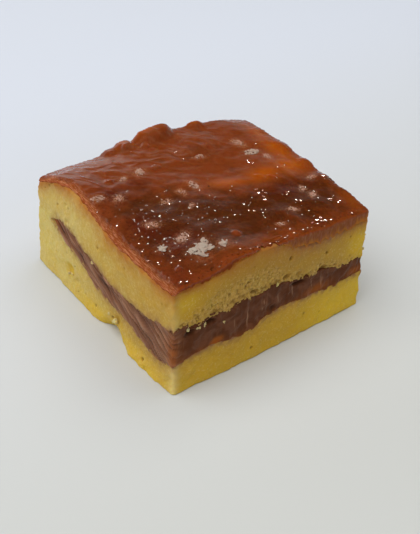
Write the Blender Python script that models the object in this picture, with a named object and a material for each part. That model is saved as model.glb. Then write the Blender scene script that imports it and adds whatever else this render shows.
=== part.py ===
"""A square-cut blondie, at its real size in metres, +Z up.

Two layers of dense yellow cake hold a caramel filling between them, and a thin glossy
caramel glaze with flakes of sea salt covers the top. The piece stands on z = 0, with the
middle of its outline's box at the origin.

Sizes and places below are in millimetres. A place in plan is measured from the front left
corner of the base: x runs right along the front, y runs back along the left side.
"""

import math
import random
from collections.abc import Callable
from dataclasses import dataclass

import bmesh
import bpy
from mathutils import Matrix, Vector, noise

MM = 0.001
NAME = "blondie"
MIDDLE = (25.7, 25.5)  # the middle of the outline's box, which becomes the origin
GAP = 0.3  # left between two layers that touch

# Corners in plan, in the order front left, front right, back right, back left.
BASE_CORNERS = ((0.0, -0.3), (49.6, 0.1), (52.3, 50.0), (-1.5, 51.9))
TOP_CORNERS = ((-0.4, 1.0), (49.4, 2.1), (53.2, 47.8), (-1.6, 49.5))
TOP_LEVEL = 24.0  # the height at which the outline is that of the top corners
CORNER_POWER = 70.0  # the knife-cut corners are round by about 0.8 mm

# Each surface between two layers is given by its height along the four sides, as pairs of
# (share of the side, height). Front and back run left to right, left and right run to the back.
FILLING_FLOOR = {
    "front": ((0, 7.3), (0.1, 7.6), (0.2, 9.1), (0.33, 8.2), (0.5, 10.0), (0.75, 9.2), (1, 8.8)),
    "left": ((0, 7.3), (0.1, 5.0), (0.3, 7.2), (0.52, 8.5), (0.64, 11.2), (0.87, 13.7), (1, 14.3)),
    "back": ((0, 14.3), (0.12, 13.2), (0.3, 10.4), (0.6, 9.0), (0.85, 9.8), (1, 8.8)),
    "right": ((0, 8.8), (0.3, 9.3), (0.6, 8.2), (1, 8.8)),
}
FILLING_ROOF = {
    "front": ((0, 14.6), (0.05, 15.6), (0.3, 15.3), (0.5, 15.7), (0.62, 14.1), (0.8, 13.2), (1, 12.8)),
    "left": (
        *((0, 14.6), (0.06, 14.0), (0.2, 12.5), (0.42, 11.9)),
        *((0.55, 13.3), (0.76, 15.6), (0.87, 15.5), (1, 14.8)),
    ),
    "back": ((0, 14.8), (0.12, 15.6), (0.35, 14.9), (0.6, 14.2), (0.85, 13.5), (1, 13.4)),
    "right": ((0, 12.8), (0.25, 13.3), (0.55, 12.7), (0.8, 13.7), (1, 13.4)),
}
GLAZE_FLOOR = {
    "front": ((0, 23.0), (0.2, 23.8), (0.3, 24.9), (0.47, 25.0), (0.64, 21.6), (0.8, 21.2), (1, 21.1)),
    "left": ((0, 23.0), (0.1, 22.7), (0.35, 22.8), (0.5, 23.5), (0.76, 24.7), (0.9, 23.3), (1, 21.2)),
    "back": ((0, 21.2), (0.1, 21.7), (0.3, 21.9), (0.6, 23.3), (0.85, 23.1), (1, 22.0)),
    "right": ((0, 21.1), (0.15, 22.6), (0.45, 23.0), (0.8, 22.8), (1, 22.0)),
}
GLAZE_TOP = {
    "front": ((0, 24.2), (0.19, 25.2), (0.29, 26.1), (0.45, 25.6), (0.6, 25.1), (0.8, 24.3), (1, 23.7)),
    "left": ((0, 24.2), (0.1, 24.0), (0.35, 24.0), (0.5, 24.7), (0.76, 25.8), (0.9, 24.6), (1, 22.5)),
    "back": ((0, 22.5), (0.1, 22.9), (0.25, 22.9), (0.4, 24.0), (0.6, 24.7), (0.85, 24.7), (1, 23.7)),
    "right": ((0, 23.7), (0.12, 24.4), (0.3, 24.2), (0.5, 24.5), (0.8, 24.3), (1, 23.7)),
}
SIDE_REACH = 4.0  # how fast a rise along a side dies away towards the middle, as a power
CROWN = 1.0  # how far the middle of the top stands over the plane of its corners
CROWN_FLATNESS = 4  # the power of the crown's curve: higher is flatter in the middle

# What a side stands out from the plane through its corners, as (share, distance).
LEFT_FOOT = ((0, 0.4), (0.25, 1.1), (0.33, 0.1), (0.41, -2.2), (0.49, 0.3), (0.75, 0.5), (1, 0.5))
LEFT_UPPER = ((0, 0), (0.4, -0.2), (0.62, -0.9), (0.8, -1.2), (0.92, -0.5), (1, 0))
BACK_BOW = ((0, 0), (0.3, 1.2), (0.55, 2.3), (0.8, 1.2), (1, 0))
FRONT_BOW = ((0, 0), (0.3, 0.4), (0.7, 0.2), (1, 0))
RIGHT_BOW = ((0, 0), (0.25, -0.4), (0.6, 0.3), (1, 0))
FOOT_HEIGHT = 3.2  # how high the crumbled foot of the left side reaches
LEFT_UPPER_RISE = 4  # the power with which LEFT_UPPER comes in from the base up
SIDE_GRIP = 8  # how fast a side's shape dies away towards the middle in plan, as a power

# Lumps of set caramel on the top: place, radius and height.
LUMPS = (
    (20.0, 48.0, 4.0, 0.8),
    (29.5, 49.0, 4.2, 1.6),
    (40.5, 48.0, 2.4, 1.2),
    (16.0, 1.5, 4.0, 0.4),
    (49.5, 15.0, 3.0, 0.6),
    (33.0, 20.0, 6.0, 0.4),
)
GLAZE_RIPPLE = 0.35
GLAZE_RIPPLE_LENGTH = 7.0

# The cut faces are uneven by this much, over hollows and rises of this length.
CAKE_RELIEF = 0.28
FILLING_RELIEF = 0.2
RELIEF_LENGTH = 3.5
RELIEF_DETAIL = (0.9, 2.0, 3)  # roughness, frequency step and octaves of the fractal

FILLING_INSET = 0.1
UPPER_INSET = 0.1

# The filling stops short of the back left corner, where the two cakes meet.
PINCH_PULL = 5.0
PINCH_RADIUS = 12.0

# Clusters of salt flakes: place, width and number of flakes. The rest are spread by a rule.
SALT_CLUSTERS = (
    (11.2, 8.2, 4.6, 9),
    (14.3, 6.2, 2.2, 4),
    (5.2, 12.6, 2.2, 4),
    (10.0, 13.4, 2.8, 4),
    (41.9, 31.6, 3.0, 5),
    (41.8, 36.5, 2.6, 3),
    (43.7, 28.5, 2.0, 3),
    (22.6, 27.1, 2.0, 3),
    (15.7, 36.8, 2.2, 3),
    (2.8, 31.6, 2.2, 2),
    (33.9, 8.9, 2.0, 3),
    (41.6, 11.3, 2.0, 3),
    (41.5, 14.5, 1.7, 2),
    (30.5, 35.6, 1.8, 2),
)
SALT_SEED = 5
SALT_SPREAD = 6  # the rest lie one to a field of a grid with this many fields a side
SALT_SPREAD_WIDTH = (1.2, 1.8)
FLAKE_WIDTH = 0.62  # as a share of the flake's length
FLAKE_THICKNESS = 0.34  # likewise
FLAKE_TAPER = 0.7  # the outer end's size beside the inner end's
FLAKE_RISE = 0.22  # how far the middle of one in a cluster stands over the glaze, likewise
FLAKE_REACH = 0.36  # how far it lies from the middle of its cluster, likewise

CAKE_CUTS = (20, 4)  # cuts along a side, and from bottom to top
GLAZE_CUTS = (26, 3)
END_CROWDING = 0.4  # how much closer the cuts come towards a side's ends
SHARP_ANGLE = math.radians(50)


def along(knots, share):
    """Reads a smooth line through (share, value) knots at one share of its length."""
    last = len(knots) - 1
    i = 0
    while i < last - 1 and share > knots[i + 1][0]:
        i += 1

    def slope(k):
        before, after = knots[max(k - 1, 0)], knots[min(k + 1, last)]
        return (after[1] - before[1]) / (after[0] - before[0])

    (x0, y0), (x1, y1) = knots[i], knots[i + 1]
    span = x1 - x0
    t = (share - x0) / span
    rise = y1 - y0
    start, end = slope(i) * span, slope(i + 1) * span
    return y0 + t * (start + t * ((3 * rise - 2 * start - end) + t * (start + end - 2 * rise)))


def between(corners, u, v):
    """Blends four corner values, in the order of the corner tables, at a point in plan."""
    front = corners[0] * (1 - u) + corners[1] * u
    back = corners[3] * (1 - u) + corners[2] * u
    return front * (1 - v) + back * v


def surface_height(sides, u, v):
    """Height of a surface given along its four sides. A side's waves die away inwards."""
    corners = (sides["front"][0][1], sides["front"][-1][1], sides["back"][-1][1], sides["back"][0][1])
    height = between(corners, u, v)
    for side, share, inwards in (
        ("front", u, v),
        ("back", u, 1 - v),
        ("left", v, u),
        ("right", v, 1 - u),
    ):
        knots = sides[side]
        chord = knots[0][1] * (1 - share) + knots[-1][1] * share
        height += (along(knots, share) - chord) * (1 - inwards) ** SIDE_REACH
    return height


def crown(u, v):
    """The low dome of the top, nothing at the sides."""
    return CROWN * (1 - (2 * u - 1) ** CROWN_FLATNESS) * (1 - (2 * v - 1) ** CROWN_FLATNESS)


def underside(u, v):
    """The flat cut that the piece stands on."""
    return 0.0


def base_top(u, v):
    """Where the base ends and the filling lies on it."""
    return surface_height(FILLING_FLOOR, u, v)


def filling_bottom(u, v):
    """The filling's underside, a gap over the base."""
    return base_top(u, v) + GAP


def filling_top(u, v):
    """The filling's upper side, a gap under the upper cake."""
    return upper_bottom(u, v) - GAP


def upper_bottom(u, v):
    """The upper cake's underside."""
    return surface_height(FILLING_ROOF, u, v)


def upper_top(u, v):
    """The upper cake's top, under the glaze."""
    return surface_height(GLAZE_FLOOR, u, v) + crown(u, v)


def glaze_bottom(u, v):
    """The glaze's underside, a gap over the upper cake."""
    return upper_top(u, v) + GAP


def glaze_top(u, v):
    """The glaze's surface, with its lumps and the ripples it set in."""
    place = in_plan(u, v, TOP_LEVEL)
    height = surface_height(GLAZE_TOP, u, v) + crown(u, v)
    for x, y, radius, rise in LUMPS:
        away = math.hypot(place.x - x, place.y - y) / radius
        height += rise * math.exp(-away * away)
    return height + GLAZE_RIPPLE * noise.noise(place / GLAZE_RIPPLE_LENGTH)


def in_plan(u, v, z):
    """The point of the plain outline's plan at shares u, v, at height z."""
    t = z / TOP_LEVEL
    x, y = (
        between([low[k] * (1 - t) + high[k] * t for low, high in zip(BASE_CORNERS, TOP_CORNERS)], u, v)
        for k in (0, 1)
    )
    return Vector((x, y, z))


def side_offsets(u, v, z):
    """How far each side stands out at a point, as (outward direction, distance, nearness)."""
    foot = max(0.0, 1 - z / FOOT_HEIGHT)
    up = z / TOP_LEVEL
    left = along(LEFT_FOOT, v) * foot + along(LEFT_UPPER, v) * up**LEFT_UPPER_RISE
    return (
        (Vector((-1, 0, 0)), left, 1 - u),
        (Vector((1, 0, 0)), along(RIGHT_BOW, v), u),
        (Vector((0, -1, 0)), along(FRONT_BOW, u), 1 - v),
        (Vector((0, 1, 0)), along(BACK_BOW, u) * up, v),
    )


def placed(u, v, z, inset, relief):
    """A point of a layer in plan, with its sides' bows, its inset and its uneven cut face."""
    point = in_plan(u, v, z)
    rough = relief * noise.fractal(point / RELIEF_LENGTH, *RELIEF_DETAIL)
    offset = Vector((0, 0, 0))
    for outward, distance, nearness in side_offsets(u, v, z):
        offset += outward * (distance - inset + rough) * nearness**SIDE_GRIP
    return point + offset


def rounded(a, b):
    """Shares (u, v) of a point of the square from -1 to 1, with the corners rounded off."""
    square = max(abs(a), abs(b))
    if square == 0:
        return 0.5, 0.5
    length = (abs(a / square) ** CORNER_POWER + abs(b / square) ** CORNER_POWER) ** (1 / CORNER_POWER)
    return (a / length + 1) / 2, (b / length + 1) / 2


def crowded(a):
    """Moves evenly spaced cuts closer together towards the two ends."""
    return (1 - END_CROWDING) * a + END_CROWDING * math.sin(a * math.pi / 2)


def cut_cube(columns, rows):
    """A cube from -1 to 1 whose top, bottom and sides are cut into a grid."""
    bm = bmesh.new()
    bmesh.ops.create_cube(bm, size=2.0)
    for axis, cuts in ((2, rows - 1), (0, columns - 1), (1, columns - 1)):
        edges = [e for e in bm.edges if abs(e.verts[0].co[axis] - e.verts[1].co[axis]) > 1]
        bmesh.ops.subdivide_edges(bm, edges=edges, cuts=cuts, use_grid_fill=True)
    return bm


def as_it_lies(point):
    """Leaves a point of a layer that reaches every corner where it is."""
    return point


def pinched(point):
    """Draws the filling's outline back from the back left corner."""
    corner = Vector((BASE_CORNERS[3][0], BASE_CORNERS[3][1], point.z))
    reach = (point - corner).length / PINCH_RADIUS
    if reach >= 1:
        return point
    return point + Vector((1, -1, 0)).normalized() * PINCH_PULL * (1 - reach) ** 2


def material(name, colour, roughness, see_through=0.0):
    """A plain Principled finish."""
    made = bpy.data.materials.new(name)
    made.use_nodes = True
    shader = made.node_tree.nodes["Principled BSDF"]
    shader.inputs["Base Color"].default_value = (*colour, 1.0)
    shader.inputs["Roughness"].default_value = roughness
    shader.inputs["Metallic"].default_value = 0.0
    shader.inputs["Transmission Weight"].default_value = see_through
    made.diffuse_color = (*colour, 1.0)
    return made


def new_object(name, bm, finish, collection):
    """Turns a finished bmesh, in millimetres, into an object of the piece."""
    for vert in bm.verts:
        vert.co = (vert.co - Vector((*MIDDLE, 0))) * MM
    bmesh.ops.recalc_face_normals(bm, faces=bm.faces)
    mesh = bpy.data.meshes.new(name)
    bm.to_mesh(mesh)
    bm.free()
    mesh.materials.append(finish)
    mesh.shade_smooth()
    mesh.set_sharp_from_angle(angle=SHARP_ANGLE)
    obj = bpy.data.objects.new(name, mesh)
    collection.objects.link(obj)
    return obj


@dataclass(frozen=True)
class Layer:
    """One layer: what bounds it below and above, its cut sides and its finish."""

    name: str
    lower: Callable
    upper: Callable
    cuts: tuple
    colour: tuple
    roughness: float
    inset: float = 0.0
    relief: float = 0.0
    round_top: float = 0.0
    round_bottom: float = 0.0
    move: Callable = as_it_lies

    def edge_inset(self, from_bottom, from_top):
        """How far the side stands in at its rounded upper and lower edges."""
        found = self.inset
        for radius, away in ((self.round_top, from_top), (self.round_bottom, from_bottom)):
            if away < radius:
                found += radius - math.sqrt(radius**2 - (radius - away) ** 2)
        return found

    def build(self, collection):
        """A cut cube laid between the two surfaces, inside the uneven square outline."""
        bm = cut_cube(*self.cuts)
        for vert in bm.verts:
            u, v = rounded(crowded(vert.co.x), crowded(vert.co.y))
            low, high = self.lower(u, v), self.upper(u, v)
            rise = (high - low) * (vert.co.z + 1) / 2
            inset = self.edge_inset(rise, high - low - rise)
            vert.co = self.move(placed(u, v, low + rise, inset, self.relief))
        finish = material(self.name, self.colour, self.roughness)
        return new_object(self.name, bm, finish, collection)


LAYERS = (
    Layer(
        name="cake_base",
        lower=underside,
        upper=base_top,
        cuts=CAKE_CUTS,
        colour=(0.50, 0.36, 0.09),
        roughness=0.75,
        relief=CAKE_RELIEF,
        round_top=0.2,
        round_bottom=0.25,
    ),
    Layer(
        name="caramel_filling",
        lower=filling_bottom,
        upper=filling_top,
        cuts=CAKE_CUTS,
        colour=(0.16, 0.075, 0.035),
        roughness=0.35,
        inset=FILLING_INSET,
        relief=FILLING_RELIEF,
        round_top=0.1,
        round_bottom=0.1,
        move=pinched,
    ),
    Layer(
        name="cake_top",
        lower=upper_bottom,
        upper=upper_top,
        cuts=CAKE_CUTS,
        colour=(0.53, 0.38, 0.11),
        roughness=0.75,
        inset=UPPER_INSET,
        relief=CAKE_RELIEF,
        round_top=0.3,
        round_bottom=0.3,
    ),
    Layer(
        name="caramel_glaze",
        lower=glaze_bottom,
        upper=glaze_top,
        cuts=GLAZE_CUTS,
        colour=(0.17, 0.032, 0.010),
        roughness=0.12,
        round_top=0.8,
    ),
)


def make_flake(index, place, length, turn, tilt, finish, collection):
    """One flat flake of salt, a cube drawn out and tapered to one end."""
    bm = bmesh.new()
    bmesh.ops.create_cube(bm, size=1.0)
    for vert in bm.verts:
        taper = FLAKE_TAPER if vert.co.x > 0 else 1.0
        vert.co.y *= FLAKE_WIDTH * taper
        vert.co.z *= FLAKE_THICKNESS * taper
        vert.co *= length
    bmesh.ops.transform(
        bm,
        matrix=Matrix.Translation(place) @ Matrix.Rotation(turn, 4, "Z") @ Matrix.Rotation(-tilt, 4, "Y"),
        verts=bm.verts,
    )
    return new_object(f"flake_{index}", bm, finish, collection)


def cluster_places(rng):
    """Every cluster as (u, v, width, flakes): the named ones, then one to each empty field."""
    width = BASE_CORNERS[1][0]
    depth = BASE_CORNERS[3][1]
    clusters = [(x / width, y / depth, size, flakes) for x, y, size, flakes in SALT_CLUSTERS]
    for row in range(SALT_SPREAD):
        for column in range(SALT_SPREAD):
            u = (column + rng.uniform(0.25, 0.75)) / SALT_SPREAD
            v = (row + rng.uniform(0.25, 0.75)) / SALT_SPREAD
            size = rng.uniform(*SALT_SPREAD_WIDTH)
            free = all(math.hypot(u - c[0], v - c[1]) > 1 / SALT_SPREAD for c in clusters)
            if free:
                clusters.append((u, v, size, 1))
    return clusters


def scatter_salt(finish, collection):
    """Flakes standing in clusters, each one sunk a little into the glaze."""
    rng = random.Random(SALT_SEED)
    width = BASE_CORNERS[1][0]
    depth = BASE_CORNERS[3][1]
    index = 0
    for u, v, size, flakes in cluster_places(rng):
        heading = rng.uniform(0, math.tau)
        alone = flakes == 1
        for k in range(flakes):
            turn = heading + math.tau * k / flakes + rng.uniform(-0.25, 0.25)
            tilt = rng.uniform(0.1, 0.3) if alone else rng.uniform(0.25, 0.75)
            length = size if alone else size * rng.uniform(0.42, 0.66)
            reach = 0.0 if alone else FLAKE_REACH * length
            flake_u = u + math.cos(turn) * reach / width
            flake_v = v + math.sin(turn) * reach / depth
            place = in_plan(flake_u, flake_v, TOP_LEVEL)
            place.z = glaze_top(flake_u, flake_v) + (0.0 if alone else FLAKE_RISE * length)
            make_flake(index, place, length, turn, tilt, finish, collection)
            index += 1


def fuse(obj, collection):
    """Joins every object of a collection to obj as one closed body, then drops them."""
    join = obj.modifiers.new("salt", "BOOLEAN")
    join.operation = "UNION"
    join.operand_type = "COLLECTION"
    join.collection = collection
    join.solver = "EXACT"
    join.material_mode = "TRANSFER"
    bpy.context.view_layer.update()
    graph = bpy.context.evaluated_depsgraph_get()
    fused = bpy.data.meshes.new_from_object(obj.evaluated_get(graph))
    fused.name = obj.name
    obj.modifiers.clear()
    obj.data = fused
    for flake in list(collection.objects):
        bpy.data.objects.remove(flake)
    bpy.data.collections.remove(collection)


def new_collection(name):
    """A collection of its own in the scene."""
    collection = bpy.data.collections.new(name)
    bpy.context.scene.collection.children.link(collection)
    return collection


def main():
    """Clears the scene, builds the four layers and fuses the salt to the glaze."""
    for obj in list(bpy.data.objects):
        bpy.data.objects.remove(obj)
    parts = new_collection(NAME)
    built = [layer.build(parts) for layer in LAYERS]
    salt = new_collection("salt")
    scatter_salt(material("sea_salt", (0.80, 0.78, 0.74), 0.3, 0.3), salt)
    fuse(built[-1], salt)


main()
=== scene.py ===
"""The looks of a square-cut salted caramel blondie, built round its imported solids.

Two layers of dense yellow cake hold a caramel filling, under a thin glossy caramel glaze with
flakes of sea salt. Sizes and places are in millimetres. A place in plan is measured from the
front left corner of the base, x to the right along the front and y to the back, as in the
solids' own sizes. Finished points are moved to the solids' frame, in metres, by `to_frame`.
"""

import logging
import math
import random
from dataclasses import dataclass, field
from enum import Enum
from typing import Any

import bpy
import numpy as np
from mathutils import Matrix, Vector, noise


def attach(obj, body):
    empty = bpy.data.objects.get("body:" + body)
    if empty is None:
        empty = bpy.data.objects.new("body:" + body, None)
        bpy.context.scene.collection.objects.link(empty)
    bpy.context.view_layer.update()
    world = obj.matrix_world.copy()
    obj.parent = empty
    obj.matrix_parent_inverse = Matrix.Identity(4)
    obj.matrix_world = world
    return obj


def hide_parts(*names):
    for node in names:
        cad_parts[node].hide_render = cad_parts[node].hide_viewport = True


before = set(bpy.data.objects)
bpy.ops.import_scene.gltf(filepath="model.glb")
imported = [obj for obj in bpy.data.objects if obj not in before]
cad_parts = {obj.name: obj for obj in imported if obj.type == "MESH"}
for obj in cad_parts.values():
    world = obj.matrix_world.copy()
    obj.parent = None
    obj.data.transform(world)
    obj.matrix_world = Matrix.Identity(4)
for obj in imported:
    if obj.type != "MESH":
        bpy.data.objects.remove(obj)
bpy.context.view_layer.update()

logging.basicConfig(level=logging.INFO, format="%(message)s")
log = logging.getLogger("blondie")

Array = np.ndarray
Pair = tuple[float, float]
Triple = tuple[float, float, float]
Colour = Triple
Knots = tuple[Pair, ...]
Material = bpy.types.Material
Object = bpy.types.Object
Socket = bpy.types.NodeSocket

MM = 0.001
MIDDLE = (25.7, 25.5)  # the middle of the outline's box, which is the solids' origin
BODY = "root"
WARM: Colour = (1.0, 0.90, 0.78)


class Side(Enum):
    """A cut side of the piece, by the direction that it faces, in plan."""

    FRONT = (0, -1)
    RIGHT = (1, 0)
    BACK = (0, 1)
    LEFT = (-1, 0)


def to_frame(points: Array) -> Array:
    """Moves points in the piece's millimetres to the solids' frame, in metres."""
    return (np.asarray(points, float) - (*MIDDLE, 0.0)) * MM


def held(value: Array) -> Array:
    """Holds values between 0 and 1."""
    return np.clip(value, 0, 1)


def smooth_step(value: Array, start: float, end: float) -> Array:
    """Rises smoothly from 0 at start to 1 at end, whichever of them is larger."""
    t = np.clip((np.asarray(value, float) - start) / (end - start), 0.0, 1.0)
    return t * t * (3 - 2 * t)


def ripple(points: Array, sizes: float | Triple, shift: float = 0.0) -> Array:
    """Smooth noise from about -1 to 1.

    Args:
        points: Places, one a row.
        sizes: Length of a ripple, or one length for each axis.
        shift: Moves the noise, so that two uses of it differ.

    Returns:
        One value for each point.
    """
    scaled = points / np.array(sizes) + shift
    return np.array([noise.noise(Vector(p)) for p in scaled])


def fractal(points: Array, size: float, octaves: int = 3, fade: float = 0.9, finer: float = 2.0) -> Array:
    """Noise from about -1 to 1 that has finer ripples in it.

    Args:
        points: Places, one a row.
        size: Length of its largest ripples.
        octaves: How many sets of ripples it has.
        fade: How fast the finer sets fade.
        finer: How much finer each set is than the one before.

    Returns:
        One value for each point.
    """
    return np.array([noise.fractal(Vector(p), fade, finer, octaves) for p in points / size])


@dataclass(frozen=True)
class Wave:
    """A set of ripples: their height, their length, and what moves their noise."""

    height: float
    length: float | Triple
    shift: float = 0.0


def waved(points: Array, *waves: Wave) -> Array:
    """One or more sets of ripples together, at each point."""
    return sum(wave.height * ripple(points, wave.length, wave.shift) for wave in waves)


def around(rng: random.Random, reach: float) -> float:
    """A random number from -reach to reach."""
    return rng.uniform(-reach, reach)


def carry(mesh: bpy.types.Mesh, name: str, values: Array) -> None:
    """Keeps a number, or a row of three, for each point of a mesh, under a name."""
    kind, key = ("FLOAT_VECTOR", "vector") if np.ndim(values) == 2 else ("FLOAT", "value")
    layer = mesh.attributes.new(name, kind, "POINT")
    layer.data.foreach_set(key, np.asarray(values, np.float32).ravel())


def add_object(name: str, data: bpy.types.ID) -> Object:
    """Makes an object from its data and puts it in the scene."""
    obj = bpy.data.objects.new(name, data)
    bpy.context.scene.collection.objects.link(obj)
    return obj


def fasten(obj: Object, node: str = "") -> None:
    """Lets a finished piece ride on the part.

    Args:
        obj: The piece.
        node: The solid that it replaces, where it replaces one.
    """
    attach(obj, BODY)
    if node:
        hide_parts(node)
    log.info("%s: %d faces", obj.name, len(obj.data.polygons))


@dataclass(frozen=True)
class Line:
    """A smooth line through knots of (share of the length, value)."""

    knots: Knots

    def read(self, share: Array) -> Array:
        """Reads the line.

        Args:
            share: Places along it, from 0 to 1.

        Returns:
            Its value at each of them.
        """
        x, y = np.array(self.knots, float).T
        slope = np.empty_like(y)
        slope[1:-1] = (y[2:] - y[:-2]) / (x[2:] - x[:-2])
        slope[0] = (y[1] - y[0]) / (x[1] - x[0])
        slope[-1] = (y[-1] - y[-2]) / (x[-1] - x[-2])
        i = np.clip(np.searchsorted(x, share, side="left") - 1, 0, len(x) - 2)
        span = x[i + 1] - x[i]
        t = (share - x[i]) / span
        rise = y[i + 1] - y[i]
        start, end = slope[i] * span, slope[i + 1] * span
        return y[i] + t * (start + t * ((3 * rise - 2 * start - end) + t * (start + end - 2 * rise)))


@dataclass(frozen=True)
class Boundary:
    """A surface between two layers, given by its height along the four sides."""

    front: Line
    left: Line
    back: Line
    right: Line
    reach: float = 4.0  # how fast a side's waves die away inwards, as a power

    def height(self, u: Array, v: Array) -> Array:
        """Reads the surface.

        Args:
            u: Shares of the width.
            v: Shares of the depth.

        Returns:
            Its height at each place.
        """
        front, back = self.front.knots, self.back.knots
        near = front[0][1] * (1 - u) + front[-1][1] * u
        far = back[0][1] * (1 - u) + back[-1][1] * u
        height = near * (1 - v) + far * v
        for line, share, inwards in (
            (self.front, u, v),
            (self.back, u, 1 - v),
            (self.left, v, u),
            (self.right, v, 1 - u),
        ):
            chord = line.knots[0][1] * (1 - share) + line.knots[-1][1] * share
            height = height + (line.read(share) - chord) * (1 - inwards) ** self.reach
        return height


FILLING_FLOOR = Boundary(
    front=Line((
        (0, 7.3), (0.07, 7.9), (0.16, 8.5), (0.23, 8.0), (0.3, 7.6), (0.37, 8.0), (0.43, 8.8),
        (0.5, 9.5), (0.56, 9.6), (0.65, 9.1), (0.77, 8.8), (0.9, 8.5), (1, 8.8),
    )),
    left=Line(((0, 7.3), (0.1, 5.0), (0.3, 7.2), (0.52, 8.5), (0.64, 11.2), (0.87, 13.7), (1, 14.3))),
    back=Line(((0, 14.3), (0.12, 13.2), (0.3, 10.4), (0.6, 9.0), (0.85, 9.8), (1, 8.8))),
    right=Line(((0, 8.8), (0.3, 9.3), (0.6, 8.2), (1, 8.8))),
)
FILLING_ROOF = Boundary(
    front=Line((
        (0, 14.6), (0.06, 15.2), (0.12, 14.5), (0.19, 15.3), (0.25, 14.4), (0.31, 15.5), (0.4, 14.6),
        (0.47, 15.6), (0.55, 14.6), (0.62, 13.9), (0.71, 13.8), (0.84, 12.5), (1, 12.1),
    )),
    left=Line((
        (0, 14.6), (0.06, 14.0), (0.2, 12.5), (0.42, 11.9), (0.55, 13.3), (0.76, 15.6), (0.87, 15.5),
        (1, 14.8),
    )),
    back=Line(((0, 14.8), (0.12, 15.6), (0.35, 14.9), (0.6, 14.2), (0.85, 13.5), (1, 13.4))),
    right=Line(((0, 12.1), (0.25, 13.0), (0.55, 12.7), (0.8, 13.7), (1, 13.4))),
)
GLAZE_FLOOR = Boundary(
    front=Line(((0, 23.0), (0.2, 23.8), (0.3, 24.9), (0.47, 25.0), (0.64, 21.6), (0.8, 21.2), (1, 21.1))),
    left=Line(((0, 23.0), (0.1, 22.7), (0.35, 22.8), (0.5, 23.5), (0.76, 24.7), (0.9, 23.3), (1, 21.2))),
    back=Line(((0, 21.2), (0.1, 21.7), (0.3, 21.9), (0.6, 23.3), (0.85, 23.1), (1, 22.0))),
    right=Line(((0, 21.1), (0.15, 22.6), (0.45, 23.0), (0.8, 22.8), (1, 22.0))),
)
GLAZE_TOP = Boundary(
    front=Line(((0, 24.2), (0.19, 25.2), (0.29, 26.1), (0.45, 25.6), (0.6, 25.1), (0.8, 24.3), (1, 23.7))),
    left=Line(((0, 24.2), (0.1, 24.0), (0.35, 24.0), (0.5, 24.7), (0.76, 25.8), (0.9, 24.6), (1, 22.5))),
    back=Line(((0, 22.5), (0.1, 22.9), (0.25, 22.9), (0.4, 24.0), (0.6, 24.7), (0.85, 24.7), (1, 23.7))),
    right=Line(((0, 23.7), (0.12, 24.4), (0.3, 24.2), (0.5, 24.5), (0.8, 24.3), (1, 23.7))),
)


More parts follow.
